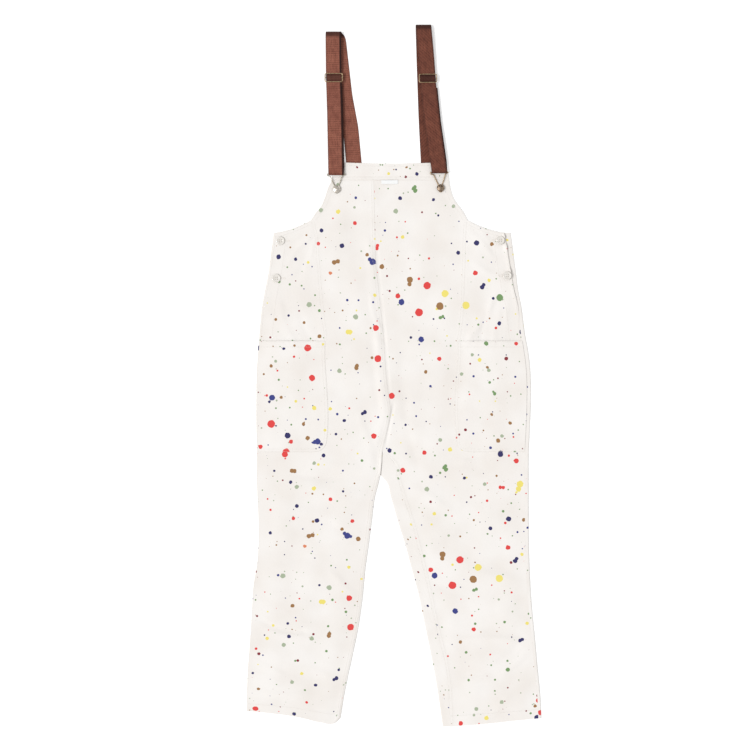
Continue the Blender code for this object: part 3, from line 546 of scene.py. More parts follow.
ARMHOLE = {
    "left": mm(
        (456, -144), (437.5, -153), (409.5, -162.5), (391, -171.5), (381.5, -180), (362, -193),
    ),
    "right": mm(
        (456, 128.5), (437.5, 131.5), (409.5, 141), (391, 154.5), (381.5, 161.5), (362, 171.5),
    ),
}
PANEL_SEAM = {
    "left": mm(
        (362, -193), (323.5, -185), (265, -180), (200, -175), (130, -168), (81, -162), (41.5, -160),
        (-177.5, -160), (-236, -175), (-804, -235),
    ),
    "right": mm(
        (362, 171.5), (323.5, 168.5), (265, 167.5), (200, 165), (130, 161.5), (81, 155), (41.5, 149),
        (-177.5, 149), (-236, 160), (-804, 235),
    ),
}
# How much of the back shows round the side fold
BACK_SHOWS = {
    "left": mm((332.5, 2.6), (-804, 2.6)),
    "right": mm((332.5, 15), (235, 11.5), (165, 8), (60, 10), (-804, 7)),
}
# How far each hem hangs below its level: part of the way across, drop
HEM_DROP = {
    "left": (
        (0.0, -0.0075), (0.05, 0.0035), (0.2, 0.0025), (0.42, -0.0085), (0.74, -0.0185), (1.0, -0.0235),
    ),
    "right": ((0.0, 0.013), (0.44, 0.005), (0.77, -0.002), (1.0, -0.0065)),
}
KNEE_Y = -0.618  # below this the hem's own shape grows
BIB_CORNERS = (-0.1345, 0.1225)
BIB_DIP = 0.0035
BACK_TOP = mm((381.5, 118), (353.5, 160), (332.5, 215))
# Level of a row on the outer fold, and of the same row on the centre back and the inner fold
BACK_SLANT = mm(
    (332.5, 332.5), (-10, -10), (-56.5, -90), (-103, -160), (-140.5, -228), (-177.5, -231.5),
    (-203, -245), (-236, -265), (-282.5, -298), (-338.5, -343), (-394, -394), (-804, -804),
)
# Level of the cloth's middle along the outer and the inner edge
OUTER_Z = (
    (0.497, 0.0026), (0.4285, 0.0026), (0.3815, 0.003), (0.362, 0.0034), (0.3325, 0.0042),
    (0.1675, 0.0042), (0.13, SEAM_Z), (-0.804, SEAM_Z),
)
INNER_Z = (
    (0.497, PUFF_Z), (-0.103, PUFF_Z), (-0.1405, 0.0038), (-0.1775, SEAM_Z), (-0.804, SEAM_Z),
)
SIGN = {"left": -1, "right": 1}
print("curves for", ", ".join(SIGN))

# %% [markdown]
# ## Reading a curve, and where a front begins and ends
#
# Straight lines between the rows would leave a corner at each of them. A cubic piece between each pair,
# whose end slopes are the mean of the slopes on both sides, passes through the same rows as a pattern
# maker's curved ruler would. Heights are read with straight lines, because they change little.

# %% Curves


def joined(*parts):
    """Points from their parts x, y and z (or x and y), each an array or one number for all."""
    return np.stack(np.broadcast_arrays(*parts), axis=-1)


def read(curve, y):
    """A smooth curve through rows (y, x): Hermite cubics with the mean slope at each row."""
    rows = np.array(sorted(curve))
    level, place = rows[:, 0], rows[:, 1]
    run = np.diff(level)
    slope = np.diff(place) / run
    mean = (slope[1:] * run[:-1] + slope[:-1] * run[1:]) / (run[1:] + run[:-1])
    tangent = np.concatenate([slope[:1], mean, slope[-1:]])
    y = np.clip(y, level[0], level[-1])
    piece = np.clip(np.searchsorted(level, y) - 1, 0, len(run) - 1)
    part = (y - level[piece]) / run[piece]
    ahead = part * part * (3 - 2 * part)
    start = tangent[piece] * run[piece] * part * (1 - part) ** 2
    end = tangent[piece + 1] * run[piece] * part * part * (part - 1)
    return place[piece] * (1 - ahead) + place[piece + 1] * ahead + start + end


def straight(curve, y):
    """Straight lines through rows (y, value)."""
    rows = np.array(sorted(curve))
    return np.interp(y, rows[:, 0], rows[:, 1])


def ease(value, start, end):
    """0 before start, 1 after end, and a smooth S between."""
    share = np.clip((value - start) / (end - start), 0, 1)
    return share * share * (3 - 2 * share)


def bell(distance, width):
    """1 where the distance is 0, fading both ways, by about two thirds at the width."""
    return np.exp(-((distance / width) ** 2))


def lower_outer(side, y):
    """The front's outer edge below the arm: the side fold, less what shows of the back round it."""
    return read(SIDE[side], y) - SIGN[side] * straight(BACK_SHOWS[side], y)


def front_outer(side, y):
    """The front's outer edge: the armhole, its curve under the arm, then the side opening and side seam."""
    corner = ARMHOLE[side][-1][1]
    share = np.clip((CORNER_Y - y) / (CORNER_Y - UNDERARM_Y), 0, 1)
    under = corner + (lower_outer(side, UNDERARM_Y) - corner) * share
    below = np.where(y >= UNDERARM_Y, under, lower_outer(side, y))
    return np.where(y >= CORNER_Y, read(ARMHOLE[side], y), below)


def front_inner(side, y):
    """The front's inner edge: the centre front down to the crossing, then the inseam."""
    crossing = CROSSING_Y if side == "right" else CROTCH_Y
    return np.where(y >= crossing, read(CENTRE_FRONT, y), read(INSEAM[side], y))


def panel_seam(side, y):
    """The seam between the front and its side panel."""
    return read(PANEL_SEAM[side], y)


def hem_shift(side, part, y):
    """How far a point hangs below its level; part runs from the inner fold to the outer one."""
    drop = read(HEM_DROP[side], part)
    return drop * np.clip((KNEE_Y - y) / (KNEE_Y - HEM_Y), 0, 1) ** 2


bib_width = front_outer("right", 0.45) - front_outer("left", 0.45)
print("bib is", round(float(bib_width), 3), "m wide below its band")

# %% [markdown]
# ## Creases
#
# Cotton drill that has been folded, worn and smoothed out by hand keeps long shallow folds: along the
# centre front where the rise bunches, fanning out from the side buttons, and across the knees. Each is one
# bracket here, a gently bowed crest from one point to another, one flank steeper than the other, dying away
# past its ends. A negative height is a trough. They are given one by one, and no two are alike.

# %% Creases of the front: x and y of one end, x and y of the other, half width, height and bow, in mm
CREASES = mm(
    # rise and centre front
    (-12, -10, -10, -120, 20, 1, 4), (-29.8, -215, -2, -72, 3.6, -1.2, 0),
    (-38.5, 295, -19.8, 81, 4.4, -0.7, 0), (-56, 300, -36.5, 81, 8, 0.7, 0),
    (-19.8, 81, -7, -60, 4.4, -0.6, 0), (-36.5, 81, -24, -60, 8, 0.6, 0),
    (-20, -90, -44, -205, 9, 0.8, 4), (-50, 180, -30, 112, 4.5, 0.7, 6),
    (-46, 70, -36, -60, 8, -0.6, 4), (6, 40, 14, -90, 12, 0.5, 3), (30, -60, 52, -190, 11, -0.6, 8),
    (-75, -110, -45, -225, 10, 0.7, -6), (-110, 300, -60, 120, 28, 0.6, 10),
    # under the arms and round the side buttons
    (-200, 316, -237, 274, 6, 1, 4), (-185, 300, -215, 245, 9, -0.7, 5),
    (-170, 335, -190, 290, 6, 0.6, 3), (-225, 322, -262, 300, 5, 0.7, 2),
    (-215, 250, -262, 232, 8, 0.6, -3), (185, 330, 225, 285, 8, 0.8, -4),
    (215, 322, 243, 300, 5, 0.6, 2), (200, 255, 238, 236, 7, 0.7, 2),
    # hips
    (228, 170, 180, 92, 7, 1.3, -6), (216, 142, 203, 88, 5, -1, 3), (267, 168, 265, 124, 5, 0.8, 2),
    (245, 135, 234, 90, 6, 0.6, 3), (-262, 160, -238, 94, 9, 0.7, 5), (-215, 140, -196, 90, 8, -0.5, 3),
    # thighs
    (-214, -232, -88, -230, 8, -1.1, 6), (-250, -204, -140, -208, 12, 0.6, -5),
    (-180, -262, -70, -275, 13, 0.6, 6), (166, -198, 238, -184, 6, 0.9, 4),
    (120, -255, 215, -228, 11, -0.6, 8), (40, -262, 110, -300, 12, 0.7, -6),
    (190, -300, 300, -288, 12, 0.6, 5), (-310, -330, -200, -318, 14, 0.6, -6),
    (-150, -345, -70, -372, 11, -0.6, 5), (60, -372, 150, -350, 12, 0.6, 6),
    # knees
    (-302, -452, -186, -425, 11, 0.5, 6), (-280, -432, -180, -408, 9, -0.7, 4),
    (-306, -571, -214, -594, 6, -1.2, 8), (-302, -585, -205, -606, 9, 0.8, 8),
    (-130, -470, -85, -512, 9, 0.7, 4), (100, -618, 285, -614, 7.2, 1.2, -5),
    (120, -598, 250, -590, 12, -0.6, -6), (200, -455, 300, -470, 13, 0.6, 6),
    (75, -470, 140, -498, 10, -0.6, 4), (262, -684, 322, -630, 6, 1.2, 4),
    (250, -660, 300, -610, 8, -0.7, 3),
    # shins and hems
    (124, -703, 212, -700, 6.5, 1.1, 4), (150, -740, 300, -728, 14, 0.5, -6),
    (-285, -748, -215, -744, 8, 0.8, 3), (-240, -680, -150, -700, 12, 0.6, -6),
    (-325, -660, -270, -690, 8, 0.6, 3), (-200, -770, -150, -735, 8, 0.6, 3),
    (220, -790, 260, -750, 8, 0.6, 3),
)
# The back keeps fainter ones, which can only rise, because it lies on the floor.
BACK_CREASES = mm(
    (-150, 250, -60, 180, 20, 0.9, 10), (60, 230, 170, 150, 22, 0.8, -10),
    (-240, 60, -110, 20, 18, 0.8, 8), (90, 10, 240, 40, 18, 0.9, 8), (-200, -250, -80, -270, 16, 1, 6),
    (60, -280, 220, -240, 18, 1, -8), (-290, -460, -120, -440, 18, 1, 8),
    (110, -460, 260, -500, 16, 0.9, 8), (-280, -640, -150, -610, 18, 0.9, -8),
    (140, -650, 290, -630, 18, 1, 6),
)
WAVES = 9
WAVE_SEED = 5
WAVE_HEIGHT = 0.00022
RELIEF = 2.0  # how much deeper the garment's creases are than the rows say


def crease_height(creases, x, y):
    """Sum of bowed crests: a bell across each, one flank 1.7 times as wide, a bell past each end."""
    total = np.zeros(np.broadcast(x, y).shape)
    for x0, y0, x1, y1, half_width, height, bow in creases:
        run = math.hypot(x1 - x0, y1 - y0)
        along = ((x - x0) * (x1 - x0) + (y - y0) * (y1 - y0)) / run
        across = ((x - x0) * (y1 - y0) - (y - y0) * (x1 - x0)) / run
        share = np.clip(along / run, 0, 1)
        across = across - 4 * bow * share * (1 - share)
        width = np.where(across > 0, half_width * 1.25, half_width * 0.75)
        past = np.maximum(0, np.maximum(-along, along - run))
        uneven = 0.8 + 0.2 * np.sin(5.0 * share + x0 * 90)
        total = total + RELIEF * height * uneven * bell(across, width) * bell(past, half_width * 2.5)
    return total


def swell(x, y):
    """A slow random swell: sines of many directions, 60 to 190 mm long."""
    draw = np.random.default_rng(WAVE_SEED)
    length = draw.uniform(0.06, 0.19, WAVES)
    heading = draw.uniform(0, math.pi, WAVES)
    start = draw.uniform(0, 2 * math.pi, WAVES)
    total = np.zeros(np.broadcast(x, y).shape)
    for long, turn, phase in zip(length, heading, start):
        total = total + np.sin((x * math.cos(turn) + y * math.sin(turn)) * 2 * math.pi / long + phase)
    return total * WAVE_HEIGHT


print(len(CREASES), "creases on the front,", len(BACK_CREASES), "on the back")

# %% [markdown]
# ## Height of the front
#
# The front rises from its seams to a soft plateau, then come creases, the slow swell, and the sewing: a
# felled seam is a flat ridge about 8 mm wide beside a fine groove, and a hem is cloth doubled over.
# All of it is one function of place, so panel, stitches and buttons all find the same surface.

# %% Front surface
FELL_WIDTH = 0.0082
FELL_RISE = 0.0002
GROOVE = 0.00014
GROOVE_REACH = 0.0007
INSEAM_PRESS = 0.5  # the inseams are pressed flatter than the centre front, and keep a wider groove
INSEAM_GROOVE = 0.0006
INSEAM_REACH = 0.001
PANEL_FELL = 0.3  # how raised the panel seam is, as a share of a fell
HEM_DEPTH = 0.024
ARM_HEM = 0.0105
ARM_SLANT = 0.85  # the armhole slants, so it is nearer than the way across says
BAND_DIP = 0.0009  # the front dips where the band is sewn to it
CROTCH_LIFT = 0.0024  # the left front's edge stands up a little where the rise ends
CROTCH_REACH = 0.005  # across
CROTCH_SPAN = 0.026  # up from the crotch to its middle, and its half length
STAND_HEM = 0.03


def felled(distance):
    """A flat ridge beside a seam line, from the line to its width, with a groove on the line itself."""
    ridge = ease(distance, 0.0, 0.0012) * ease(distance, FELL_WIDTH + 0.0014, FELL_WIDTH)
    return FELL_RISE * ridge - GROOVE * bell(distance, GROOVE_REACH)


def doubled(distance, depth):
    """Cloth turned under along an edge: raised out to its depth, with a soft step down."""
    return FELL_RISE * ease(distance, depth + 0.0016, depth)


def base_height(side, x, y):
    """Plateau, brought down to the front's edges over EDGE_FALL, with the creases on it."""
    inner_share = bell(x - front_inner(side, y), EDGE_FALL)
    outer_share = bell(x - front_outer(side, y), EDGE_FALL)
    free = (1 - inner_share * ease(y, CROSSING_Y + EDGE_FALL, CROSSING_Y)) * (1 - outer_share)
    inside = PUFF_Z + (crease_height(CREASES, x, y) + swell(x, y)) * free
    z = inside + (straight(INNER_Z, y) - PUFF_Z) * inner_share
    return z + (straight(OUTER_Z, y) - PUFF_Z) * outer_share


def front_height(side, x, y):
    """Middle of the front's cloth: base, centre-front and inseam fells, panel seam, hems."""
    from_inner = np.abs(x - front_inner(side, y))
    from_seam = SIGN[side] * (panel_seam(side, y) - x)
    from_arm = np.abs(x - front_outer(side, y)) * ARM_SLANT
    has_fell = 1.0 if side == "left" else ease(y, CROSSING_Y + 0.002, CROSSING_Y)
    pressed = 1 - INSEAM_PRESS * ease(y, CROSSING_Y, CROSSING_Y - 0.02)
    z = base_height(side, x, y) + felled(from_inner) * has_fell * pressed
    z = z - (1 - pressed) * INSEAM_GROOVE * bell(from_inner, INSEAM_REACH)
    z = z - BAND_DIP * bell(BAND_SEAM_Y - y, 0.0016)
    above_pocket = ease(y, STEP_Y, POCKET_TOP_Y) * ease(y, CORNER_Y + 0.01, CORNER_Y)
    z = z + PANEL_FELL * felled(from_seam) * above_pocket * (from_seam > -0.002)
    z = z + doubled(from_arm, ARM_HEM) * ease(y, CORNER_Y - 0.004, CORNER_Y + 0.004)
    if side == "left":
        z = z + CROTCH_LIFT * bell(from_inner, CROTCH_REACH) * bell(y - CROTCH_Y - CROTCH_SPAN, CROTCH_SPAN)
    return z + doubled(y - HEM_Y, HEM_DEPTH)


def on_front(side, x, y, lift=0.0):
    """Points of the front's surface, `lift` above the middle of its cloth, with the hem's drop."""
    part = (x - front_inner(side, y)) / (front_outer(side, y) - front_inner(side, y))
    z = front_height(side, x, y) + lift
    return joined(x, y - hem_shift(side, np.clip(part, 0, 1), y), z)


print("front at the chest", np.round(1000 * front_height("right", 0.05, 0.3), 2), "mm up")

# %% [markdown]
# ## From arrays to a mesh
#
# A surface worked out as whole arrays becomes a mesh in one call. Cloth needs a little more: a wall of
# even thickness about its middle surface, closed round every free edge by a rounded rim. It carries two
# marks for its material, which side is the outside and how near a seam is, and a flat map in metres.

# %% Mesh builder
RIM = 0.3  # how far a rim stands out, as a share of the thickness


def put(name, vertices, faces, finish, flat=None, marks=None, sharp=50.0):
    """One mesh object from vertices (n, 3) and lists of faces, with an optional map and point marks."""
    mesh = bpy.data.meshes.new(name)
    corners = [face for block in faces for face in np.asarray(block).tolist()]
    mesh.from_pydata(np.asarray(vertices, float).tolist(), [], corners)
    mesh.shade_smooth()
    mesh.set_sharp_from_angle(angle=math.radians(sharp))
    if flat is not None:
        corner_vertex = np.empty(len(mesh.loops), np.int32)
        mesh.loops.foreach_get("vertex_index", corner_vertex)
        layer = mesh.uv_layers.new(name="cloth")
        layer.data.foreach_set("uv", np.asarray(flat, np.float32)[corner_vertex].ravel())
    for mark, values in (marks or {}).items():
        attribute = mesh.attributes.new(mark, "FLOAT", "POINT")
        attribute.data.foreach_set("value", np.asarray(values, np.float32))
    mesh.materials.append(finish)
    made = bpy.data.objects.new(name, mesh)
    bpy.context.scene.collection.objects.link(made)
    return made


def grid_faces(rows, columns, offset=0, closed=False):
    """Quads of a grid whose rows follow one another in the vertex list."""
    column = np.arange(columns if closed else columns - 1)
    row = np.arange(rows - 1)[:, None]
    here = offset + row * columns + column
    right = offset + row * columns + (column + 1) % columns
    return np.stack([here, here + columns, right + columns, right], axis=-1).reshape(-1, 4)


def all_cells(grid):
    """Every cell of a grid of points, as kept."""
    return np.ones(np.subtract(grid.shape[:2], 1), bool)


def cell_normals(middle, kept):
    """Unit normals at the points of a grid, from the diagonals of its kept cells."""
    rows, columns = middle.shape[:2]
    cell = np.cross(middle[:-1, 1:] - middle[1:, :-1], middle[:-1, :-1] - middle[1:, 1:])
    cell[~kept] = 0.0
    normal = np.zeros_like(middle)
    used = np.zeros((rows, columns), bool)
    for down, right in ((0, 0), (0, 1), (1, 0), (1, 1)):
        normal[down : rows - 1 + down, right : columns - 1 + right] += cell
        used[down : rows - 1 + down, right : columns - 1 + right] |= kept
    length = np.linalg.norm(normal, axis=2, keepdims=True)
    return normal / np.where(length > 0, length, 1.0), used


def cloth(name, middle, flat, finish, outside_first, pucker, kept=None, thickness=CLOTH):
    """A closed wall of cloth about a grid of middle points, rows by columns by xyz.

    Every point moves half the thickness both ways along its normal. Round the kept cells runs a rim: the
    middle points of the border moved outwards in the surface by a share of the thickness.
    """
    if kept is None:
        kept = all_cells(middle)
    normal, used = cell_normals(middle, kept)
    index = -np.ones(used.shape, int)
    index[used] = np.arange(used.sum())
    count = int(used.sum())
    points, normals = middle[used], normal[used]
    rings = np.stack([index[:-1, :-1], index[1:, :-1], index[1:, 1:], index[:-1, 1:]], axis=-1)[kept]
    start = rings.ravel()
    end = np.roll(rings, -1, axis=1).ravel()
    border = ~np.isin(start * count + end, end * count + start)
    start, end = start[border], end[border]

    outward = np.zeros_like(points)
    push = np.cross(points[end] - points[start], normals[start] + normals[end])
    push /= np.maximum(np.linalg.norm(push, axis=1, keepdims=True), 1e-12)
    np.add.at(outward, start, push)
    np.add.at(outward, end, push)
    outward /= np.maximum(np.linalg.norm(outward, axis=1, keepdims=True), 1e-12)
    on_rim = np.unique(start)
    rim_index = -np.ones(count, int)
    rim_index[on_rim] = 2 * count + np.arange(len(on_rim))

    half = normals * (thickness / 2)
    rim = points[on_rim] + outward[on_rim] * thickness * RIM
    vertices = np.concatenate([points + half, points - half, rim])
    upper = np.stack([end, start, rim_index[start], rim_index[end]], axis=1)
    lower = np.stack([rim_index[end], rim_index[start], count + start, count + end], axis=1)
    chosen = np.concatenate([np.arange(count), np.arange(count), on_rim])
    marks = {
        "outside": np.repeat([outside_first, not outside_first, True], [count, count, len(on_rim)]),
        "pucker": np.broadcast_to(pucker, used.shape)[used][chosen],
    }
    faces = [rings, count + rings[:, ::-1], upper, lower]
    return put(name, vertices, faces, finish, flat[used][chosen], marks)


def cloth_area(piece):
    """Flat area of a closed wall of cloth: half of all its faces."""
    areas = np.empty(len(piece.data.polygons), np.float32)
    piece.data.polygons.foreach_get("area", areas)
    return float(areas.sum()) / 2


def triangles(piece):
    """How many triangles a piece's faces make."""
    return len(piece.data.loops) - 2 * len(piece.data.polygons)


def set_in(piece, node):
    """Sets a piece in the frame: it rides, and stands for its node if it has one."""
    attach(piece, "root")
    if node:
        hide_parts(node)
    print(piece.name, triangles(piece), "triangles")


def lay(piece, node, flat_size):
    """Sets a cloth piece in the frame, and prints its cut and its area."""
    set_in(piece, node)
    print("  cut of", flat_size, "m, area", round(cloth_area(piece), 4), "m2")


print("mesh builder ready")

# %% [markdown]
# ## Rows and columns
#
# The grid is fine only where the cloth does something: a millimetre or less beside an edge or a seam, four
# or five in the open. Columns keep their distance from the nearer edge in metres, so a fell stays 8 mm
# wide while the panel beside it widens.

# %% Grids
NEAR = np.array([0.0, 0.0006, 0.0013, 0.003, 0.0055, 0.0074, 0.0084, 0.0095, 0.0118, 0.0155])
OPEN_COLUMNS = 27
GRAIN = {"left": (-0.0583, -0.6338), "right": (0.0774, -0.6349)}  # one repeat of the print, down the leg
BOW = {"left": (0.022, 0.0025, -0.045, -0.006), "right": (-0.022, -0.0075, -0.036, -0.013)}


def levels(*marks):
    """Levels from mark to mark, each mark (level, spacing up to the next)."""
    parts = []
    for (start, size), (end, _) in zip(marks, marks[1:]):
        parts.append(np.linspace(start, end, max(1, round(abs(end - start) / size)), endpoint=False))
    return np.concatenate(parts + [[marks[-1][0]]])


def between(left, right, inner_columns=OPEN_COLUMNS):
    """Columns from one edge to the other, close together near both: an array of rows by columns."""
    width = (right - left)[:, None]
    near = np.minimum(NEAR / np.maximum(np.abs(width), 1e-6), 0.4 * NEAR / NEAR[-1])
    share = np.linspace(0, 1, inner_columns + 2)[1:-1]
    open_part = near[:, -1:] + (1 - 2 * near[:, -1:]) * share
    return left[:, None] + width * np.concatenate([near, open_part, 1 - near[:, ::-1]], axis=1)


def on_grain(side, x, y):
    """Flat map of a front: metres across and along the grain, down which the print repeats.

    The cloth is bowed a little from long use, so each is eased by a share of along and of its square.
    """
    down = np.array(GRAIN[side])
    down /= np.linalg.norm(down)
    across, along = -x * down[1] + y * down[0], -x * down[0] - y * down[1]
    out_square, out, up_square, up = BOW[side]
    bowed = across + (out_square * along + out) * along
    return joined(bowed, along + (up_square * along + up) * along)


FRONT_ROWS = levels(
    (BAND_SEAM_Y - GAP, 0.0008), (BAND_SEAM_Y - 0.0027, 0.004), (CORNER_Y, 0.0042), (STEP_Y, 0.0044),
    (CROSSING_Y, 0.0027), (CROTCH_Y, 0.0044), (HEM_Y + HEM_DEPTH + 0.004, 0.001),
    (HEM_Y + HEM_DEPTH - 0.002, 0.0042), (HEM_Y + 0.002, 0.0007), (HEM_Y, 0.0),
)
print(len(FRONT_ROWS), "rows on a front")

# %% [markdown]
# ## Where the large drops are
#
# Each front has one chart for its leg, its body and its side panel, along which the print runs on without a
# break. Pockets and band are cut from other places in the cloth, so they have short charts of their own, in
# millimetres of the plan. The backs take the other side's chart, moved across.

# %% Charts of the large drops, each row (across mm, up mm, radius mm, paint)
CHARTS = {
    "right": (
        (235, 485, 3.5, "wine"), (150, 485, 4.5, "sage"), (90, 480, 4.5, "sage"), (235, 473, 6.5, "red"),
        (-30, 470, 5, "navy"), (225, 460, 4, "brown"), (50, 455, 5, "red"), (110, 455, 5, "yellow"),
        (225, 430, 6.5, "navy"), (-5, 420, 6, "red"), (95, 418, 4, "green"), (91, 415, 4, "green"),
        (95, 410, 5, "green"), (260, 410, 6, "red"), (58, 397, 4.5, "navy"), (135, 385, 3.5, "navy"),
        (45, 370, 5.5, "sage"), (180, 365, 4, "sage"), (262, 355, 8, "yellow"), (257, 344, 6, "yellow"),
        (251, 337, 3, "yellow"), (215, 353, 4, "red"), (222, 352, 4, "red"), (55, 310, 4, "yellow"),
        (-5, 298, 4, "red"), (-7, 292, 4, "red"), (225, 277, 6, "navy"), (260, 270, 4.5, "brown"),
        (180, 260, 4.5, "navy"), (0, 250, 5.5, "brown"), (62, 213, 7, "brown"), (60, 203, 5, "brown"),
        (215, 210, 5.5, "red"), (100, 195, 8.5, "red"), (245, 190, 4, "yellow"), (231, 181, 4.5, "navy"),
        (227, 176, 5, "navy"), (30, 180, 5.5, "red"), (140, 172, 8, "yellow"), (37, 165, 7, "blue"),
        (265, 148, 8, "green"), (125, 145, 8.5, "brown"), (185, 140, 8.5, "yellow"), (75, 137, 9, "red"),
        (129, 121, 3.5, "green"), (123, 119, 4, "green"), (258, 90, 4.5, "navy"), (73, 75, 6.5, "blue"),
        (308, 65, 6, "navy"), (110, 26, 5, "red"), (235, 25, 4, "yellow"), (75, 0, 4, "brown"),
        (219, -12, 4, "navy"), (213, -14, 4.5, "navy"), (-10, -45, 7, "red"), (175, -80, 5, "green"),
    ),
    "left": (
        (-145, 440, 4.5, "navy"), (-235, 434, 7, "red"), (-165, 420, 4, "sage"), (-215, 397, 5, "brown"),
        (-209, 397, 5, "brown"), (-215, 370, 4, "navy"), (-200, 360, 5, "sage"), (-160, 360, 5, "yellow"),
        (-119, 338, 4.5, "red"), (-195, 315, 4.5, "navy"), (-63, 291, 4.5, "red"), (-200, 285, 4, "red"),
        (-145, 285, 5.5, "navy"), (-85, 270, 4, "brown"), (-78, 260, 4.5, "blue"), (-71, 255, 7.5, "blue"),
        (-63, 254, 3.5, "blue"), (-45, 250, 5.5, "brown"), (-160, 246, 5.5, "brown"), (-152, 249, 5, "brown"),
        (-290, 247, 5.5, "navy"), (-250, 245, 4, "navy"), (-167, 221, 4, "orange"), (-60, 180, 4, "yellow"),
        (-210, 145, 6, "sage"), (-100, 127, 6, "sage"), (-51, 106, 7, "red"), (-115, 91, 5.5, "yellow"),
        (-110, 91, 5.5, "yellow"), (-180, 75, 4.5, "brown"), (-40, 36, 8, "red"), (-87, 16, 4.8, "brown"),
        (-88, 10, 4.8, "brown"), (-127, 0, 5, "sage"), (-180, 0, 4.5, "navy"), (-230, -10, 4, "yellow"),
        (-190, -22, 5, "sage"), (-245, -50, 4, "wine"), (-59, -90, 4.5, "navy"), (-64, -94, 3.5, "navy"),
        (-140, -90, 4, "yellow"), (-105, -114, 4, "navy"), (-160, -115, 4.5, "sage"), (-33, -144, 6.5, "red"),
        (-235, -145, 4, "brown"),
    ),
    "pocket_right": (
        (215, 75, 5, "green"), (200, 37, 4.5, "yellow"), (183, 49, 4, "sage"), (158, 4, 4, "sage"),
        (221, 13, 4.5, "sage"), (218, 20, 3.5, "brown"), (262, 40, 4.5, "wine"), (285, 75, 4.5, "red"),
        (235, -42, 4, "green"), (232, -37, 3, "green"), (228, -90, 3.5, "brown"), (271, -110, 4, "brown"),
        (243, -151, 5, "brown"), (252, -140, 4, "sage"), (167, -126, 3.5, "wine"), (248, -181, 7, "navy"),
        (282, -177, 3, "green"), (150, -183, 4, "sage"),
    ),
    "pocket_left": (
        (-200, 65, 8, "red"), (-190, -5, 7, "red"), (-185, -75, 5, "yellow"), (-210, -112, 4, "brown"),
        (-200, -145, 5, "brown"), (-177, -153, 7, "blue"), (-183, -154, 5, "blue"), (-188, -155, 3, "blue"),
        (-168, -159, 4, "navy"), (-310, -165, 5, "red"), (-250, -177, 8, "red"), (-285, -112, 9, "red"),
        (-283, -51, 7, "blue"), (-289, -60, 3, "navy"), (-247, -139, 7, "navy"), (-239, -153, 5, "red"),
        (-285, 23, 4, "brown"), (-275, 34, 3.5, "sage"), (-256, 63, 3.5, "navy"), (-262, -50, 3.5, "brown"),
    ),
    "band": (
        (-85, 485, 2.5, "wine"), (-31, 491, 1.8, "green"), (-26, 491, 1.8, "green"), (30, 485, 2.5, "brown"),
        (28, 463, 3, "wine"), (54, 470, 4, "navy"),
    ),
}
START = {"left": -0.18, "right": -0.14}  # level at which each chart's repeat begins
print(", ".join(f"{name} {len(rows)}" for name, rows in CHARTS.items()), "large drops")

# %% [markdown]
# ## Fronts
#
# Each front is one long piece from the bib to the hem. Under the pocket it takes over the full width of the
# leg, and above that it ends at the seam with the side panel, so its grid has a step. Two fronts meet at the
# centre front, and the legs' inner edges lie on the front where the back has rolled round.

# %% Make the fronts
FAR = 0.05  # added to the distance from a seam, where that seam is covered
CROSSING_SOFT = 0.004  # over which the right front draws in for the crossing
PUCKER_REACH = 0.01


def front_plan(side):
    """Plan of a front's grid, rows by columns, and the column on the panel seam."""
    sign = SIGN[side]
    y = FRONT_ROWS
    inner = front_inner(side, y) + sign * SEAM
    if side == "right":
        inner = inner + (FLAP_TIP + SEAM) * bell(y - CROSSING_Y, CROSSING_SOFT)
    outer = front_outer(side, y) - sign * SEAM
    above = y > STEP_Y
    seam = np.where(y >= CORNER_Y, outer, panel_seam(side, y) - sign * SEAM * above)
    x = np.concatenate([between(inner, seam), between(seam, outer)[:, 1:]], axis=1)
    return x, np.repeat(y[:, None], x.shape[1], axis=1), 2 * len(NEAR) + OPEN_COLUMNS - 1


def seam_pucker(*distances):
    """1 on a seam, fading over PUCKER_REACH."""
    return np.clip(sum(bell(distance, PUCKER_REACH) for distance in distances), 0, 1)


def make_front(side):
    """A front on its plan, with the cells beside the step left out above the pocket."""
    x, y, seam_column = front_plan(side)
    step = int(np.argmin(np.abs(FRONT_ROWS - STEP_Y)))
    y[step, seam_column + 1 :] -= SEAM
    kept = all_cells(x)
    kept[:step, seam_column:] = False
    from_inner = np.abs(x - front_inner(side, y))
    from_seam = np.abs(x - panel_seam(side, y)) + FAR * (y < STEP_Y)
    from_arm = np.abs(x - front_outer(side, y)) + FAR * (y < CORNER_Y)
    pucker = seam_pucker(from_inner, from_seam, from_arm, y - HEM_Y)
    middle, flat = on_front(side, x, y), on_grain(side, x, y)
    return cloth(f"front_{side}_cloth", middle, flat, FRONT_FINISH[side], side == "right", pucker, kept)


FRONT_FINISH = {}
for side, sign in SIGN.items():
    name = f"spattered cotton, {side} front"
    FRONT_FINISH[side] = cotton(name, CHARTS[side], (0.31 * sign, 0.17), START[side])
for side, area in (("left", 0.278), ("right", 0.302)):
    lay(make_front(side), f"front_{side}", (0.34, 1.28))

# %% [markdown]
# ## Side panels
#
# A side panel fills the space from the curved seam to the side opening, under the arm. Its top edge is the
# end of the armhole, which sags between its corners; its bottom is lost under the pocket. The patch is ruled
# between the two side curves, row by row, so both long edges follow their seams exactly.

# %% Make the side panels
UNDERARM_SAG = 0.018
GAPE_REACH = 0.006  # how far in from the edge it gapes
# Where the opening's edge gapes between its buttons: level, reach, lift
GAPES = {
    "left": ((0.27, 0.02, 0.0004),),
    "right": (
        (0.324, 0.006, 0.0046), (0.299, 0.009, 0.0046), (0.27, 0.02, 0.0014), (0.2435, 0.007, 0.0052),
        (0.195, 0.03, 0.0012),
    ),
}
PANEL_ROWS = levels((0.0, 0.003), (0.03, 0.016), (1.0, 0.0))


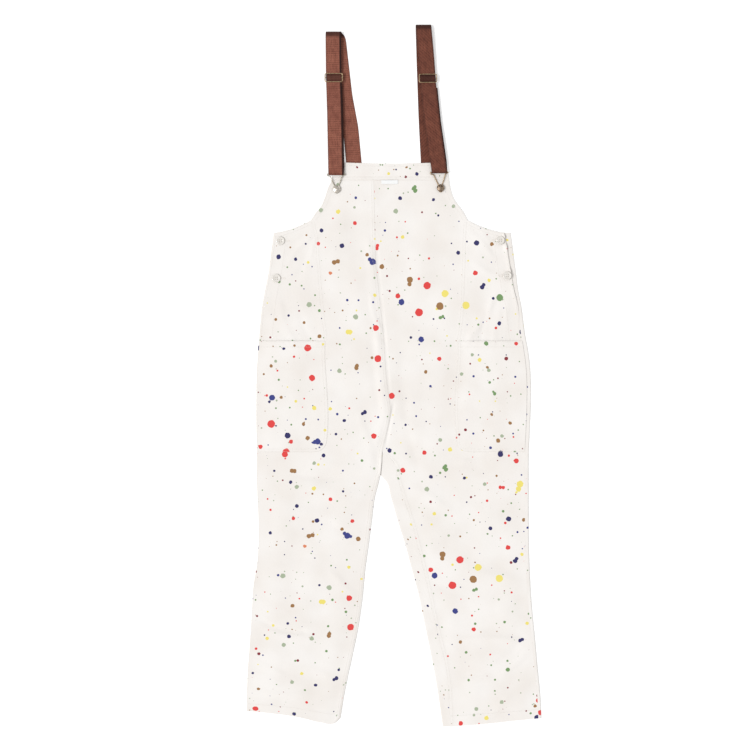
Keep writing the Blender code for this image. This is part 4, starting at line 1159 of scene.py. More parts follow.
def panel_plan(side, columns):
    """Plan of a side panel: part of the way down by part of the way from the seam to the side."""
    sign = SIGN[side]
    down = PANEL_ROWS[:, None]
    seam_y = CORNER_Y + (STEP_Y + SEAM - CORNER_Y) * PANEL_ROWS
    side_y = UNDERARM_Y + (STEP_Y + SEAM - UNDERARM_Y) * PANEL_ROWS
    near = panel_seam(side, seam_y) + sign * SEAM
    far = lower_outer(side, side_y) - sign * SEAM
    share = columns[None, :]
    x = near[:, None] * (1 - share) + far[:, None] * share
    y = seam_y[:, None] * (1 - share) + side_y[:, None] * share
    return x, y - UNDERARM_SAG * share * (1 - share) * (1 - down) ** 2


def panel_height(side, x, y, from_top):
    """Middle of a side panel's cloth: the garment's base, its armhole hem and the opening's facing."""
    from_seam = np.abs(x - panel_seam(side, y))
    from_side = np.abs(x - lower_outer(side, np.minimum(y, UNDERARM_Y)))
    z = base_height(side, x, np.minimum(y, CORNER_Y))
    gape = sum(lift * bell(y - level, reach) for level, reach, lift in GAPES[side])
    z = z + gape * bell(from_side, GAPE_REACH)
    above_pocket = ease(y, POCKET_TOP_Y, POCKET_TOP_Y + 0.05)
    z = z + doubled(from_top, ARM_HEM) + doubled(from_side, STAND_HEM) * above_pocket
    return z - PANEL_FELL * GROOVE * bell(from_seam, GROOVE_REACH)


def panel_top(side, x):
    """Level of the armhole's edge above a point of a side panel."""
    near = panel_seam(side, CORNER_Y)
    share = np.clip((x - near) / (lower_outer(side, UNDERARM_Y) - near), 0, 1)
    return CORNER_Y + (UNDERARM_Y - CORNER_Y) * share - UNDERARM_SAG * share * (1 - share)


def on_panel(side, x, y, lift=0.0):
    """Points of a side panel's surface."""
    return joined(x, y, panel_height(side, x, y, panel_top(side, x) - y) + lift)


def make_side_panel(side):
    """A side panel on its plan, its columns shared as its width at one level needs."""
    width = np.array([abs(lower_outer(side, 0.2) - panel_seam(side, 0.2))])
    columns = between(np.zeros(1), width, 22)[0] / width
    x, y = panel_plan(side, columns)
    from_seam = np.abs(x - panel_seam(side, y))
    from_side = np.abs(x - lower_outer(side, np.minimum(y, UNDERARM_Y)))
    pucker = seam_pucker(from_seam, from_side, panel_top(side, x) - y)
    middle, flat = on_panel(side, x, y), on_grain(side, x, y)
    return cloth(f"side_panel_{side}_cloth", middle, flat, FRONT_FINISH[side], side == "right", pucker)


for side, area in (("left", 0.037), ("right", 0.036)):
    lay(make_side_panel(side), f"side_panel_{side}", (0.15, 0.33))

# %% [markdown]
# ## Pockets
#
# Each pocket is a patch laid on the front and the side panel and caught in the side seam, its inner lower
# corner rounded. It is made from the garment's own surface moved out by one cloth, turned under along its
# sewn edges and hemmed at the mouth, where it stands a little open in uneven waves.

# %% Make the pockets
POCKET_EDGE = 0.01
MOUTH_HEM = 0.016
EDGE_SHARE = 0.4  # the turned edges are pressed flatter than a hem
MOUTH_LIFT = 0.0014
MOUTH_REACH = 0.022
BULGE = 0.0007
POCKET_CLOTH = 0.00045
POCKET_GAP = 0.0001
CORNER_R = 0.026


def pocket_plan(side):
    """Plan of a pocket, its inner edge drawn in round the lower corner."""
    sign = SIGN[side]
    low_rows = (POCKET_BOTTOM_Y + 0.012, 0.0012), (POCKET_BOTTOM_Y, 0.0)
    y = levels((POCKET_TOP_Y, 0.001), (POCKET_TOP_Y - 0.004, 0.004), *low_rows)
    above = np.clip(y - POCKET_BOTTOM_Y, 0, CORNER_R)
    rounding = CORNER_R - np.sqrt(np.maximum(CORNER_R**2 - (CORNER_R - above) ** 2, 0))
    inner = pocket_inner(side, y) + sign * rounding
    outer = front_outer(side, y) - sign * SEAM
    x = between(inner, outer, 30)
    return x, np.repeat(y[:, None], x.shape[1], axis=1)


def pocket_inner(side, y):
    """The pocket's inner edge, which stands over the panel seam."""
    return panel_seam(side, np.minimum(y, STEP_Y))


def pocket_height(side, x, y):
    """Middle of a pocket's cloth: a cloth above the garment, turned at its edges, open at the mouth."""
    from_inner = np.abs(x - pocket_inner(side, y))
    from_bottom = np.abs(y - POCKET_BOTTOM_Y)
    from_top = POCKET_TOP_Y - y
    turned = EDGE_SHARE * np.maximum(doubled(from_inner, POCKET_EDGE), doubled(from_bottom, POCKET_EDGE))
    turned = np.maximum(turned, doubled(from_top, MOUTH_HEM))
    open_width = ease(from_inner, 0.0, 0.05) * ease(np.abs(x - front_outer(side, y)), 0.0, 0.05)
    wave = 0.65 + 0.35 * np.sin(x * 95 + 0.8 * SIGN[side])
    gape = MOUTH_LIFT * open_width * wave * bell(from_top, MOUTH_REACH)
    bulge = BULGE * ease(from_inner, 0.0, 0.03) * ease(from_bottom, 0.0, 0.04)
    return base_height(side, x, y) + (CLOTH + POCKET_CLOTH) / 2 + POCKET_GAP + turned + gape + bulge


def on_pocket(side, x, y, lift=0.0):
    """Points of a pocket's surface."""
    return joined(x, y, pocket_height(side, x, y) + lift)


def make_pocket(side):
    """A pocket on its plan."""
    x, y = pocket_plan(side)
    pucker = seam_pucker(np.abs(x - pocket_inner(side, y)), y - POCKET_BOTTOM_Y, 0.5 * (POCKET_TOP_Y - y))
    middle, flat = on_pocket(side, x, y), joined(x, y)
    finish = cotton(f"spattered cotton, {side} pocket", CHARTS[f"pocket_{side}"], (0.83 * SIGN[side], 0.37))
    name = f"pocket_{side}_cloth"
    return cloth(name, middle, flat, finish, side == "right", pucker, thickness=POCKET_CLOTH)


for side, area in (("left", 0.04), ("right", 0.039)):
    lay(make_pocket(side), f"pocket_{side}", (0.17, 0.26))

# %% [markdown]
# ## Band and label
#
# A folded band finishes the top of the bib from armhole to armhole. It is twice as thick as the cloth, with
# a soft roll along its top and a very shallow dip in the middle. A small bare woven label hangs out of the
# seam below it.

# %% Make the band and the label
BAND_W = BIB_CORNERS[1] - BIB_CORNERS[0]
BAND_SEAM = 0.815  # part of the way down to the band's stitched line
BAND_SEAM_DIP = 0.0008
BAND_ROLL = 0.0004
BAND_WAVE = 0.00025
LABEL_X = (-0.0285, 0.0095)
LABEL_Y = (0.455, 0.4465)
LABEL_CURL = 0.0004


def band_edges(part):
    """Lower and upper x of the band, and the level of its top, at a part of the way across."""
    low = front_outer("left", BAND_SEAM_Y) * (1 - part) + front_outer("right", BAND_SEAM_Y) * part
    high = BIB_CORNERS[0] * (1 - part) + BIB_CORNERS[1] * part
    return low, high, BIB_TOP_Y - BIB_DIP * np.sin(math.pi * part)


def on_band(part, down, lift=0.0):
    """Points of the band: part across by part down, on a soft roll, lower at its two ends."""
    low, high, top = band_edges(part)
    x = high + (low - high) * down
    y = top + (BAND_SEAM_Y + GAP - top) * down
    from_end = np.minimum(part, 1 - part) * BAND_W
    end_share = bell(from_end, EDGE_FALL)
    z = PUFF_Z + (OUTER_Z[0][1] - PUFF_Z) * end_share
    z = z + BAND_ROLL * np.sin(math.pi * np.clip(down, 0, 1))
    z = z + BAND_WAVE * np.sin(part * 31) * (1 - end_share)
    z = z - BAND_SEAM_DIP * bell(down - BAND_SEAM, 0.028) - BAND_ROLL * ease(down, 0.94, 1.0)
    return joined(x, y, z + lift)


def make_band():
    """The band, with rows close together beside its line of stitches."""
    across = between(np.zeros(1), np.array([BAND_W]), 62)[0] / BAND_W
    fine = (0.785, 0.8, BAND_SEAM, 0.83, 0.845, 0.88, 0.93, 0.965, 0.985, 1.0)
    down = np.concatenate([[0, 0.015, 0.04, 0.09], np.linspace(0.16, 0.74, 7), fine])
    part, depth = np.meshgrid(across, down)
    middle = on_band(part, depth)
    pucker = seam_pucker((1 - depth) * (BIB_TOP_Y - BAND_SEAM_Y), depth * 0.02)
    finish = cotton("spattered cotton, bib band", CHARTS["band"], (0.11, 0.93))
    return cloth("bib_band_cloth", middle, middle[..., :2], finish, True, pucker, thickness=BAND_CLOTH)


def make_label():
    """The label, flat at the seam and curling a little at its free edge."""
    across, down = np.meshgrid(np.linspace(0, 1, 25), np.linspace(0, 1, 9))
    x = LABEL_X[0] + (LABEL_X[1] - LABEL_X[0]) * across
    y = LABEL_Y[0] + (LABEL_Y[1] - LABEL_Y[0]) * down
    curl = LABEL_CURL * np.sin(math.pi * across) * down
    z = PUFF_Z + RELIEF * 0.0001 + CLOTH + GAP + FELL_RISE + curl
    middle = joined(x, y, z)
    return cloth("label_cloth", middle, middle[..., :2], look["label"], True, 0.0)


lay(make_band(), "bib_band", (0.28, 0.085))
lay(make_label(), "label", (0.038, 0.01))

# %% [markdown]
# ## Backs
#
# Each back starts at its inseam, which lies on the front, rolls round the inner fold to the floor, crosses
# under the leg, rolls up round the outer fold and ends at the side seam on the front. Above the crotch the
# inner roll is missing and it ends at the centre back; beside the opening it goes on as the button stand.
# One grid makes it all, with its columns closest round the two rolls.

# %% Make the backs
ROLL_STEPS = 9
WRAP_STEPS = 5
FLOOR_COLUMNS = 40
BACK_TOP_Y = BACK_TOP[0][0]
BACK_ROWS = levels(
    (BACK_TOP_Y, 0.0008), (BACK_TOP_Y - 0.003, 0.0045), (UNDERARM_Y, 0.0045), (CROSSING_Y, 0.0027),
    (CROTCH_Y, 0.0046), (HEM_Y + 0.003, 0.0008), (HEM_Y, 0.0),
)


def back_grid(side):
    """Middle points of a back, with which cells are cloth and how near each point is to a seam."""
    sign = SIGN[side]
    outer_y = BACK_ROWS
    inner_y = np.where(outer_y > UNDERARM_Y, outer_y, straight(BACK_SLANT, outer_y))
    top = outer_y > UNDERARM_Y + 1e-9
    leg = outer_y <= CROSSING_Y + 1e-9
    half = FOLD_R + CLOTH / 2
    turn = np.linspace(0, math.pi, ROLL_STEPS + 1)
    roll_z = FLOOR_Z + FOLD_R * (1 - np.cos(turn))

    side_x = np.where(top, sign * straight(BACK_TOP, outer_y), read(SIDE[side], outer_y))
    lap = STAND_LAP * np.clip((outer_y - STAND_ENDS[1]) / (STAND_ENDS[0] - STAND_ENDS[1]), 0, 1)
    outer_end = side_x - sign * (straight(BACK_SHOWS[side], outer_y) + lap - SEAM)
    outer_centre = side_x - sign * half
    outer_floor = np.where(top, side_x, outer_centre)
    wrap = np.linspace(0, 1, WRAP_STEPS + 1)[1:]
    outer_arc = outer_centre[:, None] + sign * FOLD_R * np.sin(turn)
    outer_wrap = outer_centre[:, None] + (outer_end - outer_centre)[:, None] * wrap

    fold_x = np.where(leg, read(INNER[side], inner_y), read(CENTRE_BACK, inner_y) + sign * SEAM)
    inner_centre = fold_x + sign * half
    inner_floor = np.where(leg, inner_centre, fold_x)
    end_y = np.where(leg, outer_y, inner_y) if side == "right" else inner_y
    inner_end = read(INSEAM[side], end_y) - sign * SEAM
    if side == "right":
        at_crossing = bell(outer_y - CROSSING_Y, CROSSING_SOFT)
        tip = read(CENTRE_FRONT, outer_y) + FLAP_TIP
        inner_end = np.maximum(inner_end, tip) * at_crossing + inner_end * (1 - at_crossing)
    inner_arc = inner_centre[:, None] - sign * FOLD_R * np.sin(turn)
    unroll = np.linspace(1, 0, WRAP_STEPS + 1)[:-1]
    inner_wrap = inner_centre[:, None] + (inner_end - inner_centre)[:, None] * unroll
    inner_wrap_y = inner_y[:, None] + (end_y - inner_y)[:, None] * unroll

    share = np.linspace(0, 1, FLOOR_COLUMNS + 1)[1:-1]
    floor = inner_floor[:, None] + (outer_floor - inner_floor)[:, None] * share
    floor_y = inner_y[:, None] + (outer_y - inner_y)[:, None] * share
    x = np.concatenate([inner_wrap, inner_arc[:, ::-1], floor, outer_arc, outer_wrap], axis=1)
    roll = ROLL_STEPS + 1
    inner_roll_y = np.repeat(inner_y[:, None], roll, 1)
    outer_roll_y = np.repeat(outer_y[:, None], roll + WRAP_STEPS, 1)
    y = np.concatenate([inner_wrap_y, inner_roll_y, floor_y, outer_roll_y], axis=1)
    wrap_z = np.full(outer_wrap.shape, SEAM_Z)
    rise = crease_height(BACK_CREASES, floor, floor_y) * np.sin(math.pi * share)
    arc_z = np.broadcast_to(roll_z, outer_arc.shape)
    z = np.concatenate([wrap_z, arc_z[:, ::-1], FLOOR_Z + np.maximum(rise, 0), arc_z, wrap_z], axis=1)

    body = np.nonzero(~leg)[0]
    x[body, WRAP_STEPS + ROLL_STEPS] = fold_x[body]
    plain_top = np.nonzero(top)[0]
    x[plain_top, -(WRAP_STEPS + ROLL_STEPS) - 1] = side_x[plain_top]
    kept = all_cells(x)
    kept[: int(leg.argmax()), : WRAP_STEPS + ROLL_STEPS] = False
    kept[: int((~top).argmax()), -(WRAP_STEPS + ROLL_STEPS) :] = False
    part = np.clip((x - fold_x[:, None]) / (side_x - fold_x)[:, None], 0, 1)
    underneath = FAR * (z < SEAM_Z - 1e-6)
    from_outer = np.abs(x - outer_end[:, None]) + underneath
    from_inner = np.abs(x - inner_end[:, None]) + underneath
    shown = joined(x, y - hem_shift(side, part, y), z)
    return shown, kept, seam_pucker(from_outer, from_inner)


def unrolled(middle):
    """Flat map of a back: the length of cloth from its middle column, and the level."""
    across = np.linalg.norm(np.diff(middle[..., ::2], axis=1), axis=2)
    length = np.concatenate([np.zeros((len(middle), 1)), np.cumsum(across, axis=1)], axis=1)
    centre = middle.shape[1] // 2
    return joined(length - length[:, centre : centre + 1], middle[..., 1])


def make_back(side):
    """A back, in the other side's print."""
    middle, kept, pucker = back_grid(side)
    other = "right" if side == "left" else "left"
    chart, start, sign = CHARTS[other], START[other], SIGN[side]
    finish = cotton(f"spattered cotton, {side} back", chart, (0.47 * sign, 0.59), start, -0.15 * sign)
    return cloth(f"back_{side}_cloth", middle, unrolled(middle), finish, side == "left", pucker, kept)


for side, width, area in (("left", 0.36, 0.325), ("right", 0.4, 0.372)):
    lay(make_back(side), f"back_{side}", (width, 1.21))

# %% [markdown]
# ## Turned pieces and wire
#
# Buttons and caps are turned: a profile carried round an axis. Sliders and clasps are wire: a circle
# carried along a path, always square to it. Both come out of one grid of points, closed at poles or ends.

# %% Turned and wire helpers
TURNED_SIDES = 64
WIRE_SIDES = 14


def turns(count):
    """Angles once round, in even steps."""
    return np.linspace(0, 2 * math.pi, count, endpoint=False)


def fans(rows, sides, offset=0):
    """Triangles that close the first and last ring of a tube, to two points that follow it in the list."""
    around = np.arange(sides)
    after = (around + 1) % sides
    pole, last = rows * sides, (rows - 1) * sides
    first_fan = np.stack([np.full(sides, pole), around, after], axis=1)
    last_fan = np.stack([np.full(sides, pole + 1), last + after, last + around], axis=1)
    return [offset + first_fan, offset + last_fan]


def carried(profile, turn):
    """Rows of (radius, height) carried round +Z: rings of points."""
    radius, height = profile[:, :1], profile[:, 1:]
    return joined(radius * np.cos(turn), radius * np.sin(turn), height)


def turned(name, profile, centre, finish):
    """A profile of (radius, height) rows carried round +Z, from the axis to the axis."""
    profile = np.array(profile)
    rings = carried(profile[1:-1], turns(TURNED_SIDES)).reshape(-1, 3)
    poles = np.array([[0, 0, profile[0, 1]], [0, 0, profile[-1, 1]]])
    rows = len(profile) - 2
    quads = grid_faces(rows, TURNED_SIDES, closed=True)[:, ::-1]
    caps = [fan[:, [0, 2, 1]] for fan in fans(rows, TURNED_SIDES)]
    return put(name, np.concatenate([rings, poles]) + centre, [quads, *caps], finish)


def wire_mesh(path, radius, closed, offset):
    """Vertices and faces of round wire along a path."""
    path = np.asarray(path, float)
    along = np.roll(path, -1, axis=0) - np.roll(path, 1, axis=0) if closed else np.gradient(path, axis=0)
    along /= np.linalg.norm(along, axis=1, keepdims=True)
    side = np.cross(along, (0.0, 0.0, 1.0))
    side /= np.linalg.norm(side, axis=1, keepdims=True)
    up = np.cross(side, along)
    turn = turns(WIRE_SIDES)[None, :, None]
    radius = np.broadcast_to(radius, len(path))[:, None, None]
    rings = path[:, None] + radius * (np.cos(turn) * side[:, None] + np.sin(turn) * up[:, None])
    vertices = rings.reshape(-1, 3)
    faces = grid_faces(len(path), WIRE_SIDES, offset, closed=True)
    if not closed:
        return np.concatenate([vertices, path[:1], path[-1:]]), [faces, *fans(len(path), WIRE_SIDES, offset)]
    around = np.arange(WIRE_SIDES)
    after = (around + 1) % WIRE_SIDES
    last = (len(path) - 1) * WIRE_SIDES
    return vertices, [faces, offset + np.stack([last + around, around, after, last + after], axis=1)]


def wires(name, runs, finish):
    """One piece of several wires, each (path, radius, closed)."""
    vertices, faces, offset = [], [], 0
    for path, radius, closed in runs:
        points, blocks = wire_mesh(path, radius, closed, offset)
        vertices.append(points)
        faces += blocks
        offset += len(points)
    return put(name, np.concatenate(vertices), faces, finish)


def rounded_loop(points, count):
    """A smooth closed path through points: Catmull-Rom cubics, evenly shared."""
    place = np.linspace(0, len(points), count, endpoint=False)
    piece = place.astype(int)
    part = (place - piece)[:, None]
    before, start, end, after = (points[(piece + shift) % len(points)] for shift in (-1, 0, 1, 2))
    pull = 2 * start + (end - before) * part
    pull = pull + (2 * before - 5 * start + 4 * end - after) * part**2
    return (pull + (3 * start - before - 3 * end + after) * part**3) / 2


print("turned and wire helpers ready")

# %% [markdown]
# ## Braces
#
# Each brace is one length of webbing. It is sewn to the back, runs out under the band, folds at the
# shoulder, comes down through the slider, turns round the clasp's bar and goes back up behind itself to the
# slider. The path is worked out run by run; a ribbed cross-section is then carried along it, so it keeps its
# width and thickness and never stretches.

# %% Sizes of the braces and their wire
STRAP_W = 0.036
STRAP_T = 0.0014
STRAP_Z = STRAP_T / 2
ON_BACK_Z = CLOTH + GAP + STRAP_T / 2
SHOULDER_R = 0.0055  # of the fold at the shoulder
CLASP_Z = 0.0094
SLIDER_Z = 0.0112
WIRE_R = 0.0011
BAR_R = WIRE_R + GAP + STRAP_T / 2
SLIDER_HALF = 0.0095
WEAVE = BAR_R + 0.0001
STRAP = {
    "left": {
        "back": mm(
            (801, -140.5), (790, -130), (654.5, -114.5), (579.5, -100.5), (500.5, -93), (351.5, -84),
        ),
        "front": mm((801, -140.5), (694, -139.5), (619.5, -137), (475, -134)),
        "slider_y": 0.693,
        "clasp_y": 0.469,
        "tack": (-0.1325, 0.434),
    },
    "right": {
        "back": mm((817, 69), (729, 71.5), (600.5, 76), (503, 81), (351.5, 88)),
        "front": mm((817, 69), (743, 76), (680, 80.5), (591.5, 89.5), (505, 102), (475, 106)),
        "slider_y": 0.6915,
        "clasp_y": 0.4735,
        "tack": (0.109, 0.437),
    },
}
PEEK = {"left": 0.0016, "right": 0.0024}  # how far the returning layer shows beside the front one
# painted shade along the front layer's right edge: its strength on each side, and the span across it
RIGHT_EDGE_SHADE = {"left": 1.0, "right": 0.3}  # how dark the front layer's rolled right edge is
RIGHT_EDGE_SPAN = (0.0132, 0.0146)  # across the webbing
THREADED_SHADE = 0.65  # between the slider's wires
CREST_SHADE = 0.75  # along the fold at the shoulder
CREST = (0.014, 0.0085)  # how far below the fold that shade begins, and is full
BEHIND_SHADE = 0.85  # on the layer that goes back up
FINE = 5  # how finely the front run is sampled
OVER_BACK = (0.352, 0.3835)  # levels between which the webbing lies on the back
SLIDER_ROOM = 0.006  # over which it bends to and from the slider
RIB_DEPTH = 0.00013
SELVEDGE = 0.0006


def eased(start, end, count):
    """Steps from start to end along a smooth S."""
    share = np.linspace(0, 1, count)
    return start + (end - start) * share * share * (3 - 2 * share)


def strap_path(side):
    """Middle of the webbing, from the back panel over the shoulder, round the clasp and back up."""
    rows = STRAP[side]
    runs = []

    def run(curve, y, z):
        runs.append(joined(straight(rows[curve], y), y, z))

    fold_y = rows["front"][0][0] - SHOULDER_R - STRAP_T / 2
    run("back", np.linspace(*OVER_BACK, 8), ON_BACK_Z)
    run("back", np.linspace(OVER_BACK[1], 0.41, 10)[1:], eased(ON_BACK_Z, STRAP_Z, 10)[1:])
    run("back", np.linspace(0.415, fold_y, 70), STRAP_Z)
    turn = np.linspace(0, math.pi, 26)[1:-1]
    arc_y = fold_y + SHOULDER_R * np.sin(turn)
    back_x, front_x = straight(rows["back"], arc_y), straight(rows["front"], arc_y)
    arc_x = back_x + (front_x - back_x) * turn / math.pi
    runs.append(joined(arc_x, arc_y, STRAP_Z + SHOULDER_R * (1 - np.cos(turn))))

    top_z = STRAP_Z + 2 * SHOULDER_R
    slider_y, clasp_y = rows["slider_y"], rows["clasp_y"]
    enter = slider_y + SLIDER_HALF + SLIDER_ROOM
    leave = slider_y - SLIDER_HALF - SLIDER_ROOM
    run("front", np.linspace(fold_y, enter, 4 * FINE), eased(top_z, SLIDER_Z - WEAVE, 4 * FINE))
    y = np.linspace(SLIDER_HALF, -SLIDER_HALF, 7 * FINE)
    run("front", slider_y + y, SLIDER_Z + WEAVE * np.cos(math.pi * y / SLIDER_HALF))
    run("front", np.linspace(leave, clasp_y, 9 * FINE), eased(SLIDER_Z - WEAVE, CLASP_Z + BAR_R, 9 * FINE))
    turn = np.linspace(0, math.pi, 22)[1:-1]
    bar_x = straight(rows["front"], clasp_y)
    runs.append(joined(bar_x, clasp_y - BAR_R * np.sin(turn), CLASP_Z + BAR_R * np.cos(turn)))
    up = np.linspace(clasp_y, leave - SLIDER_ROOM, 8 * FINE)
    above = np.interp(up, (clasp_y, leave), (CLASP_Z + BAR_R, SLIDER_Z - WEAVE))
    share = (up - clasp_y) / (up[-1] - clasp_y)
    below = 2 * BAR_R + (STRAP_T + GAP + 0.0004 - 2 * BAR_R) * np.minimum(1, share * 5)
    run("front", up, above - below)
    runs[-1][:, 0] += PEEK[side] * np.minimum(1, share * 12)
    return np.concatenate(runs)


def softened(path):
    """The path with its corners eased: each inner point moves to the mean of itself and its neighbours."""
    for _ in range(3):
        path = np.concatenate([path[:1], (path[:-2] + 2 * path[1:-1] + path[2:]) / 4, path[-1:]])
    return path


def webbing_section():
    """The webbing across, and how far its face stands out of its middle, ribbed but for the selvedge."""
    across = np.linspace(-STRAP_W / 2 + 0.0002, STRAP_W / 2 - 0.0002, 61)
    edge = np.clip((STRAP_W / 2 - np.abs(across)) / SELVEDGE, 0, 1)
    ribs = RIB_DEPTH * (np.cos(2 * math.pi * across / WEB_RIB) - 1) / 2
    return across, STRAP_T / 2 * np.sqrt(1 - (1 - edge) ** 2) + ribs * edge


def webbing_marks(side, path, across):
    """Painted shade: at the webbing's bends round the bar, the slider and the fold, and where other parts
    shade it.
    """
    level, top = path[:, 1:2], path[:, 1].max()
    # painted shade at the bends: round the clasp's bar, along the top of the fold, and at the slider's outer
    # wires
    worn = bell(level - STRAP[side]["clasp_y"] + BAR_R, 0.004) + 0.6 * bell(level - top, 0.005)
    from_slider = np.abs(level - STRAP[side]["slider_y"])
    worn = worn + bell(from_slider - SLIDER_HALF + 0.0024, 0.0014) * (path[:, 2:] > SLIDER_Z - 0.002)
    fold = level.argmax()
    bar = fold + level[fold:].argmin()
    order = np.arange(len(path))[:, None]
    on_front_run = (order > fold) & (order <= bar)
    beside_slider = ease(from_slider, SLIDER_HALF, SLIDER_HALF + 0.002)
    # painted shade on the front layer's right edge, which rolls away from the light
    rolled = ease(across, *RIGHT_EDGE_SPAN) * beside_slider * RIGHT_EDGE_SHADE[side]
    # painted shade between the slider's wires, below the fold, and on the layer that goes back up behind
    threaded = THREADED_SHADE * ease(from_slider, SLIDER_HALF + 0.001, SLIDER_HALF - 0.003)
    crest = CREST_SHADE * ease(level, top - CREST[0], top - CREST[1])
    behind = BEHIND_SHADE * (order > bar)
    shaded = np.maximum(np.maximum(rolled, threaded) * on_front_run, np.maximum(crest, behind))
    return {"worn": np.repeat(worn, len(across)), "shaded": shaded.ravel()}


def make_strap(side):
    """The section carried along the path: its upper half, one selvedge, its lower half, the other."""
    path = softened(strap_path(side))
    step = np.gradient(path[:, 1:], axis=0)
    step /= np.linalg.norm(step, axis=1, keepdims=True)
    out = joined(0.0, -step[:, 1], step[:, 0])
    across, rise = webbing_section()
    edge = np.array([STRAP_W / 2])
    ring_across = np.concatenate([across, edge, across[::-1], -edge])
    ring_rise = np.concatenate([rise, [0], -rise[::-1], [0]])
    wide = np.array([1.0, 0.0, 0.0])
    rings = path[:, None] + ring_across[:, None] * wide + ring_rise[:, None] * out[:, None]
    sides = len(ring_across)
    quads = grid_faces(len(path), sides, closed=True)[:, ::-1]
    half = len(across)
    top = np.arange(half - 1)
    cap = np.stack([top, top + 1, 2 * half - 1 - top, 2 * half - top], axis=1)
    tips = np.array([[half - 1, half, half + 1], [0, 2 * half, 2 * half + 1]])
    last = (len(path) - 1) * sides
    ends = [cap, last + cap[:, ::-1], tips, last + tips[:, ::-1]]
    length = np.concatenate([[0], np.cumsum(np.linalg.norm(np.diff(path, axis=0), axis=1))])
    flat = joined(ring_across[None], length[:, None]).reshape(-1, 2)
    name, marks = f"strap_{side}_webbing", webbing_marks(side, path, ring_across)
    piece = put(name, rings.reshape(-1, 3), [quads, *ends], look[f"webbing_{side}"], flat, marks)
    return piece, float(length[-1])


for side in SIGN:
    strap, length = make_strap(side)
    set_in(strap, f"strap_{side}")
    print("  ", round(length, 3), "m of webbing")

# %% [markdown]
# ## Sliders, clasps and tack buttons
#
# A slider is a rounded ring of wire with a bar across it, over which the webbing is threaded. A clasp is one
# closed loop of wire: a bar for the webbing, two sides drawing in, and a narrow slot that catches the shank
# of a jeans button. The button's cap is domed, with a rolled rim and a small raised middle.

# %% Make the wire and the caps
CLASP = mm(
    (0, 0), (18.8, 0), (20.4, -1), (19.6, -2.6), (14, -4.8), (11, -11.5), (7.2, -20), (5, -25.5),
    (5, -33), (4.2, -38.5), (0, -41.2),
)
CLASP_GRIP = 8  # the row of the clasp that lies level with the tack button
SLIDER_CORNER = 0.0035
TACK_R = 0.0088
TACK_RIM = 0.0008
SHANK_FOOT = 0.004
CLASP_ROOM = 0.001  # the length of shank that the wire leaves free


def slider(side):
    """A ring of four straight sides and four quarter turns, and a thinner bar across its middle."""
    rows = STRAP[side]
    centre = np.array([straight(rows["front"], rows["slider_y"]), rows["slider_y"], SLIDER_Z])
    half_x = STRAP_W / 2 + 0.001 + WIRE_R
    turn = np.linspace(0, math.pi / 2, 9)
    quarters = []
    for quarter, (sx, sy) in enumerate(((1, 1), (-1, 1), (-1, -1), (1, -1))):
        angle = turn + quarter * math.pi / 2
        x = sx * (half_x - SLIDER_CORNER) + SLIDER_CORNER * np.cos(angle)
        y = sy * (SLIDER_HALF - SLIDER_CORNER) + SLIDER_CORNER * np.sin(angle)
        quarters.append(joined(x, y, 0.0))
    bar = joined(np.linspace(-half_x, half_x, 9), 0.0, 0.0)
    runs = [(centre + np.concatenate(quarters), WIRE_R, True), (centre + bar, WIRE_R * 0.9, False)]
    return wires(f"slider_{side}_wire", runs, look["brass"])


def base_level(place, side, x, y, radius):
    """Level that a round thing stands on, just above the highest cloth round it."""
    around = np.linspace(0, 2 * math.pi, 24)
    points = place(side, x + radius * np.cos(around), y + radius * np.sin(around))
    return float(points[..., 2].max()) + CLOTH / 2 + GAP


def tack_base(side):
    """Level that a tack button stands on."""
    return base_level(on_front, side, *STRAP[side]["tack"], SHANK_FOOT)


def clasp(side):
    """The clasp's loop, stretched and turned to run from the webbing's bar to its tack button."""
    rows = STRAP[side]
    top = np.array([straight(rows["front"], rows["clasp_y"]), rows["clasp_y"]])
    tack = np.array(rows["tack"])
    half = np.array(CLASP)
    outline = rounded_loop(np.concatenate([half, half[-2:0:-1] * (-1, 1)]), 200)
    length = -CLASP[CLASP_GRIP][1]
    down = (top - tack) / np.linalg.norm(top - tack)
    square = np.array([down[1], -down[0]])
    scale = np.linalg.norm(top - tack) / length
    share = np.clip(-outline[:, 1] / length, 0, 1)
    turned_in = np.minimum(1, share * 20)[:, None]
    plan = top + outline[:, :1] * (square * turned_in + np.array([1.0, 0.0]) * (1 - turned_in))
    plan = plan + outline[:, 1:] * down * scale
    low_z = tack_base(side) + 0.0003 + WIRE_R
    z = CLASP_Z + (low_z - CLASP_Z) * np.minimum(1, share * 1.25)
    path = joined(plan[:, 0], plan[:, 1], z)
    return wires(f"clasp_{side}_wire", [(path, WIRE_R, True)], look["steel" if side == "left" else "brass"])


def tack_button(side):
    """Shank, flat underside, rolled rim, groove, dome and a small raised middle."""
    x, y = STRAP[side]["tack"]
    clear = 2 * WIRE_R + CLASP_ROOM
    turn = np.linspace(-math.pi / 2, math.pi * 0.62, 12)
    rim = [(TACK_R - TACK_RIM * (1 - math.cos(a)), clear + TACK_RIM * (1 + math.sin(a))) for a in turn]
    dome = (
        (0.0072, 0.00115), (0.006, 0.00155), (0.0045, 0.0018), (0.0032, 0.0019), (0.0029, 0.0022),
        (0.0015, 0.0024), (0.0, 0.00245),
    )
    profile = [(0.0, 0.0), (0.0034, 0.0), (0.003, 0.0006), (0.003, clear), (0.006, clear), *rim]
    profile += [(radius, clear + up) for radius, up in dome]
    finish = look["silver" if side == "left" else "bronze"]
    return turned(f"tack_button_{side}_cap", profile, (x, y, tack_base(side)), finish)


for side in SIGN:
    set_in(slider(side), f"slider_{side}")
    set_in(clasp(side), f"clasp_{side}")
    set_in(tack_button(side), f"tack_button_{side}")

# %% [markdown]
# ## Side buttons
#
# Four pale buttons close the side openings. A button's face is a height over its disc: a raised rim, a
# dished middle, and four holes with round shoulders, through which two bars of thread hold it down. One
# grid of rings makes face, edge and underside, with its rings closest at the holes.

